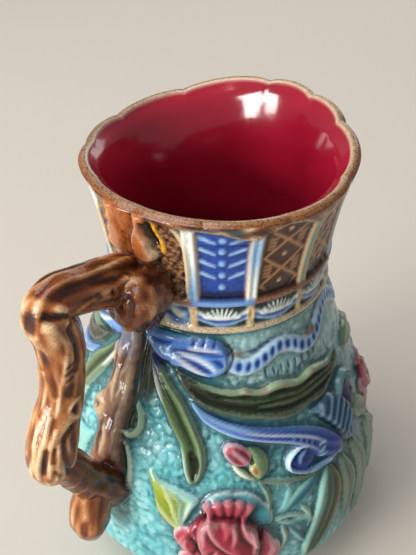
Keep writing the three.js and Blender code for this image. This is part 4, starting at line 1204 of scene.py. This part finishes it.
# The main limb's length, and millimetres to a degree round it. Marks on it are given by the share of
# its length and the turn round it: 0 faces the side, 90 faces out. Ridges are (line, half width,
# height), hollows are (line, half width, depth, how dark).
LIMB_LENGTH = 132
LIMB_GIRTH = 0.16
RIDGES = [
    ([(0.13, 108), (0.22, 98), (0.307, 91), (0.37, 98), (0.404, 122)], 1.1, 0.06),
    ([(0.13, 90), (0.2, 72), (0.3, 62), (0.375, 68)], 0.9, 0.035),
    ([(0.17, 40), (0.225, 20), (0.3, 4), (0.379, -20)], 1.1, 0.05),
    ([(0.413, 126), (0.411, 96), (0.405, 68), (0.398, 36), (0.39, 12)], 1.2, 0.07),
    ([(0.425, 48), (0.43, 20), (0.47, 12), (0.529, 21), (0.6, 34), (0.668, 44), (0.76, 50)], 1.0, 0.045),
    ([(0.44, 64), (0.445, 100), (0.43, 118)], 0.9, 0.05),
    ([(0.61, 88), (0.68, 84), (0.78, 100)], 1.0, 0.04),
    ([(0.70, -8), (0.705, 8), (0.73, 18), (0.755, 8), (0.757, -6)], 0.9, 0.06),
    ([(0.79, 96), (0.875, 84), (0.93, 86), (0.97, 94)], 1.3, 0.06),
    ([(0.77, 62), (0.88, 66), (0.96, 70)], 1.1, 0.05),
    ([(0.80, 42), (0.87, 46), (0.95, 40)], 0.9, 0.05), ([(0.84, 28), (0.9, 24), (0.96, 22)], 0.8, 0.05)]
HOLLOWS = [
    ([(0.394, 50), (0.307, 40), (0.157, 58)], 2.9, 0.07, 0.5),
    ([(0.13, 128), (0.25, 114), (0.37, 116)], 2.2, 0.03, 0.55),
    ([(0.415, 50), (0.409, 22), (0.397, -8)], 1.2, 0.09, 1.1),
    ([(0.427, 92), (0.427, 76)], 2.4, 0.06, 1.1),
    ([(0.45, -24), (0.461, -15), (0.5, -6), (0.55, -3), (0.6, 4)], 1.7, 0.08, 0.9),
    ([(0.57, 10), (0.58, 24)], 0.9, 0.04, 0.7), ([(0.596, 14), (0.606, 28)], 0.9, 0.04, 0.7),
    ([(0.62, 12), (0.63, 26)], 0.9, 0.04, 0.7), ([(0.655, 19), (0.677, 23)], 2.3, 0.05, 0.9),
    ([(0.729, 3), (0.735, 8)], 1.7, 0.08, 0.8), ([(0.5, 80), (0.58, 75), (0.68, 58)], 2.1, 0.03, 0.55),
    ([(0.45, 100), (0.52, 104), (0.6, 98)], 1.5, 0.03, 0.4),
    ([(0.79, 4), (0.83, 20), (0.886, 8), (0.98, -24)], 1.6, 0.09, 0.9),
    ([(0.78, -12), (0.85, -9), (0.92, -16)], 2.2, 0.03, 0.6),
    ([(0.93, 110), (0.965, 112)], 2.2, 0.05, 0.6), ([(0.87, 54), (0.93, 54)], 1.8, 0.05, 0.6),
    ([(0.86, 37), (0.9, 36)], 1.2, 0.05, 0.6), ([(0.93, 28), (0.95, 14)], 0.9, 0.05, 0.8),
    ([(0.28, 2), (0.29, 10)], 1.3, 0.05, 0.7), ([(0.232, 3), (0.24, 10)], 1.1, 0.05, 0.6),
    ([(0.165, 32), (0.18, 38)], 1.2, 0.05, 0.6),
    ([(0.06, 112), (0.11, 92), (0.13, 70), (0.11, 44)], 2.6, 0.03, 0.8),
    ([(0.5, 190), (0.6, 178)], 3, 0.06, 0.6), ([(0.75, -130), (0.88, -120)], 3, 0.06, 0.6),
    ([(0.25, -150), (0.35, -140)], 3, 0.06, 0.6)]


def main_bark(t, turn):
    """The shape of the upright limb as a share of its radius, and how dark its glaze is, with painted light
    on the part that runs down.
    """
    # The upper arm is darker. The part that runs down is lighter, partly its own tan glaze and partly
    # painted light from the window. Its lower end is lighter again, as a painted highlight.
    upper = 1 - smooth(0.38, 0.42, t)
    low = smooth(0.76, 0.84, t)
    shape = 0.8 * facets(turn - 14 * t, ((92, 0.94), (44, 0.97), (-8, 0.97), (-60, 0.96), (-115, 0.97),
                                         (-165, 0.96), (142, 0.97)))
    for at, drift in ((165, 10), (215, -20), (268, 15)):
        shape = shape + 0.06 * ridge(turn, at + drift * t, 12)
    dark = 0.15 * upper - 0.45 * (1 - upper) - 0.15 * low
    for spine, half, tall in RIDGES:
        crest = mark(t, turn, spine, half)
        shape = shape + tall * crest
        dark = dark - 0.35 * crest
    for spine, half, deep, stain in HOLLOWS:
        inside = mark(t, turn, spine, half)
        shape = shape - deep * inside
        dark = dark + (stain + 0.15) * inside
    shape = shape + 0.05 * mark(t, turn, [(0.725, 8), (0.745, 8)], 5)
    return shape, dark


def lower_bark(t, turn):
    """The limb that runs down to the body, dark with a few pale bands."""
    shape = 0.8 * facets(turn + 60 * t, ((80, 0.95), (20, 0.96), (-45, 0.97), (-110, 0.95), (150, 0.96),
                                         (210, 0.96)))
    dark = np.full_like(t, 0.65)
    for place in (0.2, 0.34, 0.48, 0.62):
        band = np.exp(-((t - place - 0.0012 * (turn - 60)) / 0.018) ** 2) * ridge(turn, 60, 50)
        shape = shape + 0.05 * band
        dark = dark - 0.9 * band
    return shape, dark


def stub_bark(t, turn):
    """The cut stub, with a hollow, a seam, and a painted highlight on the face turned out."""
    shape = 0.8 * facets(turn, ((95, 0.93), (40, 0.96), (-15, 0.96), (-75, 0.95), (-140, 0.96),
                                (155, 0.95)))
    hollow = patch(t, turn, (0.62, 55), (0.2, 16))
    seam = ridge(turn, 14, 7)
    # The face turned out, towards the window, is painted lighter: a painted highlight.
    return shape - 0.07 * hollow - 0.06 * seam, 0.5 * hollow - 0.12 + 0.8 * seam - 0.5 * ridge(turn, 95, 22)


def limb_line(stations, steps):
    """How far along a limb each step is, its place, the way it runs there and its radius."""
    line = spline(stations, 12)
    lengths = np.concatenate([[0], np.cumsum(np.linalg.norm(np.diff(line[:, :2], axis=0), axis=1))])
    reached = np.linspace(0, 1, steps) * lengths[-1]
    at = np.stack([np.interp(reached, lengths, line[:, i]) for i in range(4)], -1)
    middle = np.stack([-at[:, 0], -at[:, 3], at[:, 1]], -1)
    ahead = np.gradient(middle, axis=0)
    ahead[:, 1] = 0
    ahead /= np.linalg.norm(ahead, axis=1)[:, None]
    return reached, middle, ahead, (HANDLE_THICKNESS / 2 * at[:, 2])[:, None]


def limb(name, stations, sides, steps, bark, seed):
    """A limb of the branch as a closed tube, with a rounded end."""
    reached, middle, ahead, radius = limb_line(stations, steps)
    turn, t = np.meshgrid(np.arange(sides) / sides * 360, np.linspace(0, 1, steps))
    cos, sin = np.cos(turn * DEG)[..., None], np.sin(turn * DEG)[..., None]
    aside = np.array([0.0, 1.0, 0.0])
    up = np.cross(aside, ahead)
    direction = -aside * cos + up[:, None] * sin
    bark_shape, dark = bark(t, turn)
    along = np.broadcast_to((reached * GRAIN_STRETCH)[:, None, None], cos.shape)
    round_about = np.concatenate([cos, sin], -1) * radius[..., None]
    grain_at = np.concatenate([round_about, along], -1).reshape(-1, 3)
    grain = wobble(grain_at, 3.0, seed=seed).reshape(t.shape)
    lumps = wobble(grain_at * (1, 1, 4), 6, seed=seed + 1).reshape(t.shape)
    shape = bark_shape + 0.02 * lumps + 0.013 * grain
    points = middle[:, None] + direction * (radius * (1 + shape))[..., None]
    end = middle[-1] + ahead[-1] * radius[-1] * 0.45
    caps = [middle[-1] + (points[-1] - middle[-1]) * k + (end - middle[-1]) * (1 - k ** 2)
            for k in (0.8, 0.5, 0)]
    start = middle[0][None] + np.zeros((sides, 3))
    points = np.concatenate([start[None], points, caps])
    pool = (shape - blurred(shape, 2)) * radius
    ends = ((1, len(caps)), (0, 0))
    tone = 0.16 * grain + 0.22 * lumps + 1.1 * clamp(pool, -0.8, 0.9) - dark
    paint = ramp(np.pad(tone, ends, mode="edge"), WOOD)
    pool = np.pad(pool, ends, mode="edge")
    piece, row, column = blank_tube(name, len(points), sides)
    move_points(piece, points[row, column] * MM)
    keep_looks(piece, paint[row, column], pool[row, column], 0.35, 1)
    sew(piece, SEAM_GAP)
    return piece


def knob(name, place, squash, seed, dark):
    """A rounded knot of the branch, with a rough, blotched face."""
    out, height, share, aside = place
    bpy.ops.object.select_all(action="DESELECT")
    bpy.ops.mesh.primitive_uv_sphere_add(segments=48, ring_count=32, radius=1)
    piece = bpy.context.object
    piece.name = name
    way = points_of(piece)
    way /= np.linalg.norm(way, axis=1)[:, None]
    rough = wobble(way * 9, 9, seed=seed)
    fine = wobble(way * 9, 3.4, seed=seed + 1)
    blocky = (way ** 6).sum(1) ** (-1 / 6)
    swell = mix(1, blocky, 0.5) + 0.07 * rough + 0.04 * fine
    points = way * (HANDLE_THICKNESS / 2 * share * swell)[:, None] * squash + (-out, -aside, height)
    move_points(piece, points * MM)
    paint = mix(ramp(rough * 0.6 + fine * 0.45 - dark, WOOD), PLUM, 0.25)
    keep_looks(piece, paint, 0.25 * rough + 0.2 * fine, 0.5, 1)
    return piece


def change_solid(whole, part, operation):
    """Unites a part with the whole, or takes it away from it, and removes the part."""
    change = whole.modifiers.new("change", "BOOLEAN")
    change.operation = operation
    change.solver = "MANIFOLD"
    change.object = part
    select_only(whole)
    bpy.ops.object.modifier_apply(modifier="change")
    bpy.data.objects.remove(part)


def hollow_cutter(sides=72):
    """The space inside, grown part of the way into the wall, to keep the limbs out of it."""
    heights = np.array([4, 10, 30, 60, 90, 105, 130, 145, 162, 180, 194])
    radii = profile(heights.astype(float)) - WALL / 2 - 1
    heights = np.pad(heights, 1, mode="edge")
    radii = np.pad(radii, 1)
    piece, row, column = blank_tube("hollow", len(heights), sides)
    angle = column / sides * 2 * math.pi
    points = np.stack([radii[row] * np.cos(angle), radii[row] * np.sin(angle), heights[row]], -1)
    move_points(piece, points * MM)
    keep_looks(piece, BROWN, -0.5, 0.3, 1)
    sew(piece, SEAM_GAP)
    return piece


def branch():
    """The whole branch, trimmed to the outside of the body."""
    whole = limb("branch", MAIN_LIMB, 72, 164, main_bark, 11)
    for part in (limb("lower_limb", LOWER_LIMB, 44, 44, lower_bark, 21),
                 limb("stub", STUB, 44, 34, stub_bark, 31),
                 knob("boss", BOSS, (1, 0.95, 1.04), 41, 0.35),
                 knob("top_knot", TOP_KNOT, (1.7, 1.2, 0.62), 51, 0.5)):
        change_solid(whole, part, "UNION")
    change_solid(whole, hollow_cutter(), "DIFFERENCE")
    return whole


def kept(piece, name, width=1):
    """The values that the piece keeps for each of its points."""
    values = np.empty(len(piece.data.vertices) * width, np.float32)
    piece.data.attributes[name].data.foreach_get("color" if width > 1 else "value", values)
    return values.reshape(-1, width) if width > 1 else values


def edge_ends(piece):
    ends = np.empty(len(piece.data.edges) * 2, np.int32)
    piece.data.edges.foreach_get("vertices", ends)
    return ends.reshape(-1, 2).T


def neighbour_sum(first, second, values):
    """The values of each point's neighbours along the edges, added up."""
    count = len(values)
    sums = [np.bincount(first, column[second], count) + np.bincount(second, column[first], count)
            for column in values.T]
    return np.stack(sums, -1)


def fill_seams(piece, rounds=6):
    """The points that joining made have no values of their own: they take those of their neighbours."""
    first, second = edge_ends(piece)
    count = len(piece.data.vertices)
    fresh = np.abs(kept(piece, "own") - OWN) > 0.01
    values = np.column_stack([kept(piece, "paint", 4), kept(piece, "pool"), kept(piece, "speckle"),
                              kept(piece, "wood")])
    known = ~fresh
    for _ in range(rounds):
        weight = np.bincount(first, known[second], count) + np.bincount(second, known[first], count)
        total = neighbour_sum(first, second, values * known[:, None])
        ready = fresh & (weight > 0)
        values[ready] = total[ready] / weight[ready, None]
        known = known | ready
    layers = piece.data.attributes
    layers["paint"].data.foreach_set("color", values[:, :4].astype(np.float32).ravel())
    for i, name in enumerate(("pool", "speckle", "wood")):
        layers[name].data.foreach_set("value", values[:, 4 + i].astype(np.float32))
    layers.remove(layers["own"])


def soften_seams(piece, rounds=5):
    """Rounds the crease where the branch meets the body, and lets the glaze pool in it."""
    first, second = edge_ends(piece)
    count = len(piece.data.vertices)
    wood = kept(piece, "wood")
    near = np.zeros(count, bool)
    for ends in (first, second):
        near[ends[np.abs(wood[first] - wood[second]) > 0.2]] = True
    crease = near.copy()
    for _ in range(2):
        touch = near[first] | near[second]
        near[first[touch]] = True
        near[second[touch]] = True
    degree = np.maximum(1, np.bincount(first, minlength=count) + np.bincount(second, minlength=count))
    points = points_of(piece)
    for _ in range(rounds):
        mean = neighbour_sum(first, second, points) / degree[:, None]
        points[near] = mix(points[near], mean[near], 0.5)
    move_points(piece, points)
    pool = kept(piece, "pool")
    pool[near] = -0.35
    pool[crease] = -0.7
    piece.data.attributes["pool"].data.foreach_set("value", pool)


# Materials. Effects that more than one glaze uses are node groups.

def group(name, inputs, outputs):
    tree = bpy.data.node_groups.new(name, "ShaderNodeTree")
    for label, kind, value in inputs:
        socket = tree.interface.new_socket(label, in_out="INPUT", socket_type=kind)
        if value is not None:
            socket.default_value = value
    for label, kind in outputs:
        tree.interface.new_socket(label, in_out="OUTPUT", socket_type=kind)
    return tree, tree.nodes.new("NodeGroupInput"), tree.nodes.new("NodeGroupOutput")


def plug(tree, socket, value):
    """Links an input to another node's output, or sets it to a value of its own."""
    if isinstance(value, bpy.types.NodeSocket):
        tree.links.new(value, socket)
    else:
        socket.default_value = value


def add(tree, kind, inputs=(), **settings):
    """A node with its settings, and its inputs linked or set by name or number."""
    node = tree.nodes.new(kind)
    for key, value in settings.items():
        setattr(node, key, value)
    for key, value in inputs:
        plug(tree, node.inputs[key], value)
    return node


def object_place(tree):
    return add(tree, "ShaderNodeTexCoord").outputs["Object"]


def noise(tree, place, scale, detail, roughness=0.5):
    inputs = [("Vector", place), ("Scale", scale), ("Detail", detail), ("Roughness", roughness)]
    return add(tree, "ShaderNodeTexNoise", inputs).outputs["Fac"]


def stored(tree, name, output="Fac"):
    """A value or colour that the mesh keeps for each point."""
    return add(tree, "ShaderNodeAttribute", attribute_name=name).outputs[output]


def maths(tree, operation, *values, clamped=False):
    node = add(tree, "ShaderNodeMath", list(enumerate(values)), operation=operation)
    node.use_clamp = clamped
    return node.outputs[0]


def mixed(tree, factor, a, b, blend_type="MIX"):
    node = add(tree, "ShaderNodeMix", data_type="RGBA", blend_type=blend_type, clamp_factor=True)
    for key, value in ((0, factor), (6, a), (7, b)):
        plug(tree, node.inputs[key], value)
    return node.outputs[2]


def stretched(tree, value, low, high, to_low=0.0, to_high=1.0):
    links = [("Value", value), ("From Min", low), ("From Max", high), ("To Min", to_low),
             ("To Max", to_high)]
    return add(tree, "ShaderNodeMapRange", links, clamp=True).outputs["Result"]


def colour4(c):
    return (float(c[0]), float(c[1]), float(c[2]), 1.0)


def glaze_depth_group():
    """Glaze runs thin and pale over edges, and pools deep in hollows."""
    tree, source, sink = group("glaze depth", [
        ("Paint", "NodeSocketColor", (0.5, 0.5, 0.5, 1)), ("Pool", "NodeSocketFloat", 0.0),
        ("Thin", "NodeSocketColor", (0.8, 0.75, 0.6, 1)), ("Paleness", "NodeSocketFloat", 0.5),
        ("Depth", "NodeSocketFloat", 0.6)], [("Color", "NodeSocketColor")])
    break_up = noise(tree, object_place(tree), 420.0, 3.0)
    pool = maths(tree, "ADD", source.outputs["Pool"], stretched(tree, break_up, 0.2, 0.8, -0.12, 0.12))
    thin = maths(tree, "MULTIPLY", stretched(tree, pool, 0.3, 1.1), source.outputs["Paleness"])
    deep = maths(tree, "MULTIPLY", stretched(tree, pool, -0.05, -0.8), source.outputs["Depth"])
    dark = mixed(tree, 1.0, source.outputs["Paint"], source.outputs["Paint"], "MULTIPLY")
    darker = mixed(tree, 0.55, source.outputs["Paint"], dark)
    shaded = mixed(tree, 1.0, darker, (0.4, 0.42, 0.45, 1), "MULTIPLY")
    pooled = mixed(tree, deep, source.outputs["Paint"], shaded)
    tree.links.new(mixed(tree, thin, pooled, source.outputs["Thin"]), sink.inputs["Color"])
    return tree


def speckle_group():
    """Fine brown sponge marks, more of them where the amount is high."""
    tree, source, sink = group("sponged speckle", [
        ("Color", "NodeSocketColor", (0.5, 0.5, 0.5, 1)),
        ("Speck", "NodeSocketColor", (0.05, 0.02, 0.01, 1)), ("Amount", "NodeSocketFloat", 0.5),
        ("Scale", "NodeSocketFloat", 900.0)], [("Color", "NodeSocketColor")])
    place = object_place(tree)
    fine = noise(tree, place, source.outputs["Scale"], 4.0, 0.65)
    broad = noise(tree, place, 160.0, 2.0)
    level = maths(tree, "ADD", fine, maths(tree, "MULTIPLY", maths(tree, "SUBTRACT", broad, 0.5), 0.15))
    marks = stretched(tree, level, 0.48, 0.62)
    cover = maths(tree, "MULTIPLY", marks, source.outputs["Amount"], clamped=True)
    tree.links.new(mixed(tree, cover, source.outputs["Color"], source.outputs["Speck"]),
                   sink.inputs["Color"])
    return tree


def orange_peel_group():
    """The small pits and swells of a thick glaze, as a height."""
    tree, source, sink = group("orange peel", [("Scale", "NodeSocketFloat", 500.0),
                                               ("Pits", "NodeSocketFloat", 0.3)],
                               [("Height", "NodeSocketFloat"), ("Mask", "NodeSocketFloat")])
    place = object_place(tree)
    cells = add(tree, "ShaderNodeTexVoronoi", [("Vector", place), ("Scale", source.outputs["Scale"])],
                feature="SMOOTH_F1").outputs["Distance"]
    swell = noise(tree, place, 260.0, 3.0)
    height = maths(tree, "ADD", maths(tree, "MULTIPLY", cells, source.outputs["Pits"]), swell)
    tree.links.new(height, sink.inputs["Height"])
    tree.links.new(cells, sink.inputs["Mask"])
    return tree


def place_group(tree, shared, inputs):
    node = add(tree, "ShaderNodeGroup", node_tree=shared)
    for key, value in inputs:
        plug(tree, node.inputs[key], value)
    return node.outputs


def roughen(tree, shader, skin, strength, distance):
    """Lets the skin of the glaze stand out a little as bumps."""
    bump = add(tree, "ShaderNodeBump", [("Height", skin["Height"]), ("Strength", strength),
                                        ("Distance", distance)])
    plug(tree, shader.inputs["Normal"], bump.outputs["Normal"])


def new_material(name):
    material = bpy.data.materials.new(name)
    material.use_nodes = True
    tree = material.node_tree
    return material, tree, tree.nodes["Principled BSDF"]


def glaze(name, shared, thin, paleness, depth, peel, roughness, liveliness):
    """A glossy coloured glaze over what the carving stored for each point. It is pale where it is thin."""
    material, tree, shader = new_material(name)
    skin = place_group(tree, shared["peel"], [("Scale", peel), ("Pits", 0.5)])
    lively = maths(tree, "MULTIPLY_ADD", stretched(tree, skin["Mask"], 0.1, 0.6, -1.0, 1.0), -liveliness,
                   stored(tree, "pool"))
    glazed = place_group(tree, shared["depth"], [
        ("Paint", stored(tree, "paint", "Color")), ("Pool", lively), ("Thin", colour4(thin)),
        ("Paleness", paleness), ("Depth", depth)])
    specked = place_group(tree, shared["speckle"], [
        ("Color", glazed["Color"]), ("Speck", colour4(DARK_BROWN)), ("Amount", stored(tree, "speckle")),
        ("Scale", 1500.0)])
    plug(tree, shader.inputs["Base Color"], specked["Color"])
    roughen(tree, shader, skin, 0.35, 0.0006)
    rough = stretched(tree, skin["Height"], 0.2, 0.9, roughness, roughness + 0.08)
    plug(tree, shader.inputs["Roughness"], rough)
    plug(tree, shader.inputs["IOR"], 1.43)
    return material


def inside_glaze(shared):
    """Crimson, a little cloudy, and duller towards the floor."""
    material, tree, shader = new_material("crimson_inside_glaze")
    place = object_place(tree)
    cloud = noise(tree, place, 22.0, 4.0)
    height = add(tree, "ShaderNodeSeparateXYZ", [("Vector", place)]).outputs["Z"]
    paint = stored(tree, "paint", "Color")
    deep = mixed(tree, 1.0, paint, (0.62, 0.5, 0.55, 1), "MULTIPLY")
    cloudy = mixed(tree, stretched(tree, cloud, 0.35, 0.7), deep, paint)
    specked = place_group(tree, shared["speckle"], [
        ("Color", cloudy), ("Speck", colour4(DARK_BROWN)), ("Amount", stored(tree, "speckle")),
        ("Scale", 850.0)])
    plug(tree, shader.inputs["Base Color"], specked["Color"])
    skin = place_group(tree, shared["peel"], [("Scale", 240.0), ("Pits", 0.15)])
    roughen(tree, shader, skin, 0.12, 0.0005)
    streaky = stretched(tree, cloud, 0.3, 0.7, 0.12, 0.2)
    duller = stretched(tree, height, 0.1, 0.02, 0.0, 0.35)
    plug(tree, shader.inputs["Roughness"], maths(tree, "ADD", streaky, duller))
    plug(tree, shader.inputs["IOR"], 1.5)
    plug(tree, shader.inputs["Coat Weight"], stretched(tree, height, 0.03, 0.13, 0.0, 0.4))
    plug(tree, shader.inputs["Coat Roughness"], 0.06)
    return material


def underside_clay(shared):
    """Bare cream clay under the foot, with stray glaze."""
    material, tree, shader = new_material("bare_underside")
    specked = place_group(tree, shared["speckle"], [
        ("Color", stored(tree, "paint", "Color")), ("Speck", colour4(AQUA)), ("Amount", 0.5),
        ("Scale", 240.0)])
    plug(tree, shader.inputs["Base Color"], specked["Color"])
    skin = place_group(tree, shared["peel"], [("Scale", 700.0), ("Pits", 0.5)])
    plug(tree, shader.inputs["Roughness"], stretched(tree, skin["Height"], 0.2, 0.9, 0.5, 0.7))
    return material


CARVED, BRANCH, LINING, UNDERSIDE = range(4)


def assign_materials(piece, materials):
    """Gives each face its glaze, by where it is and what it was part of."""
    mesh = piece.data
    mesh.materials.clear()
    for material in materials:
        mesh.materials.append(material)
    count = len(mesh.polygons)
    centre = np.empty(count * 3, np.float32)
    mesh.polygons.foreach_get("center", centre)
    x, y, z = centre.reshape(-1, 3).T / MM
    first = np.empty(count, np.int32)
    mesh.polygons.foreach_get("loop_start", first)
    corner = np.empty(len(mesh.loops), np.int32)
    mesh.loops.foreach_get("vertex_index", corner)
    wooden = kept(piece, "wood")[corner[first]] > 0.5
    bearing = np.arctan2(y, x) / DEG + 180
    limit = body_point(bearing, np.clip(z, 0, HEIGHT).astype(float), -WALL * 0.62)
    inside = (np.hypot(x, y) < np.hypot(limit[:, 0], limit[:, 1])) & (z > FLOOR_THICKNESS * 0.6)
    index = np.select([wooden, inside, z < 0.01], [BRANCH, LINING, UNDERSIDE], CARVED)
    mesh.polygons.foreach_set("material_index", index.astype(np.int32))
    mesh.polygons.foreach_set("use_smooth", np.ones(count, bool))
    mesh.update()


def pitcher():
    """The whole jug as one closed mesh."""
    body = vessel()
    change_solid(body, branch(), "UNION")
    fill_seams(body)
    soften_seams(body)
    body.name = "glazed_pitcher"
    shared = {"depth": glaze_depth_group(), "speckle": speckle_group(), "peel": orange_peel_group()}
    assign_materials(body, [
        glaze("carved_glaze", shared, thin=mix(CREAM, PALE_AQUA, 0.45), paleness=0.16, depth=1.0,
              peel=620.0, roughness=0.08, liveliness=0.16),
        glaze("branch_glaze", shared, thin=srgb(226, 190, 146), paleness=0.45, depth=0.8, peel=800.0,
              roughness=0.1, liveliness=0.1), inside_glaze(shared), underside_clay(shared)])
    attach(body, "root")
    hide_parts("pitcher")
    return body


# The camera stands where the photograph was taken from. Places are in millimetres.
CAMERA_AT = Vector((-225.1, -195.6, 353.5)) * MM
LOOK_AT = Vector((-3.2, 3.7, 138.5)) * MM
CAMERA_ROLL = -0.88
LENS = 54.1
SENSOR_WIDTH = 36
NEAREST_SEEN = 10 * MM
FLOOR_SIZE = 6
LIGHTS_FACE = Vector((0, 0, 0.12))


def camera():
    data = bpy.data.cameras.new("camera")
    data.lens = LENS
    data.sensor_width = SENSOR_WIDTH
    data.clip_start = NEAREST_SEEN
    eye = bpy.data.objects.new("camera", data)
    bpy.context.collection.objects.link(eye)
    eye.location = CAMERA_AT
    eye.rotation_euler = (LOOK_AT - CAMERA_AT).to_track_quat("-Z", "Y").to_euler()
    eye.rotation_euler.rotate_axis("Z", CAMERA_ROLL * DEG)
    bpy.context.scene.camera = eye


def pale_floor():
    """A plain pale floor."""
    bpy.ops.object.select_all(action="DESELECT")
    bpy.ops.mesh.primitive_plane_add(size=FLOOR_SIZE)
    floor = bpy.context.object
    floor.name = "floor"
    material, _, shader = new_material("plain_floor")
    shader.inputs["Base Color"].default_value = colour4(srgb(206, 197, 184))
    shader.inputs["Roughness"].default_value = 0.9
    floor.data.materials.append(material)


def area_light(name, azimuth, elevation, distance, size, power, colour=(1, 1, 1)):
    """A soft light that faces the pitcher, placed by its direction from it in degrees."""
    data = bpy.data.lights.new(name, "AREA")
    data.shape = "RECTANGLE"
    data.size, data.size_y = size
    data.energy = power
    data.color = colour
    lamp = bpy.data.objects.new(name, data)
    bpy.context.collection.objects.link(lamp)
    flat = math.cos(elevation * DEG) * distance
    at = LIGHTS_FACE + Vector((flat * math.cos(azimuth * DEG), flat * math.sin(azimuth * DEG),
                               math.sin(elevation * DEG) * distance))
    lamp.location = at
    lamp.rotation_euler = (LIGHTS_FACE - at).to_track_quat("-Z", "Y").to_euler()


def lights():
    area_light("window", 168, 10, 2.3, (1.0, 1.05), 66, (1, 0.98, 0.95))
    area_light("sky", 150, 65, 1.8, (1.4, 1.4), 26, (0.97, 0.98, 1))
    area_light("far_side", 20, 25, 1.8, (1.2, 1.0), 7, (1, 0.98, 0.95))
    world = bpy.data.worlds.new("room")
    world.use_nodes = True
    background = world.node_tree.nodes["Background"]
    background.inputs["Color"].default_value = (0.8, 0.82, 0.85, 1)
    background.inputs["Strength"].default_value = 0.35
    bpy.context.scene.world = world


bpy.context.scene.view_settings.view_transform = "Standard"
camera()
pale_floor()
lights()
pitcher()
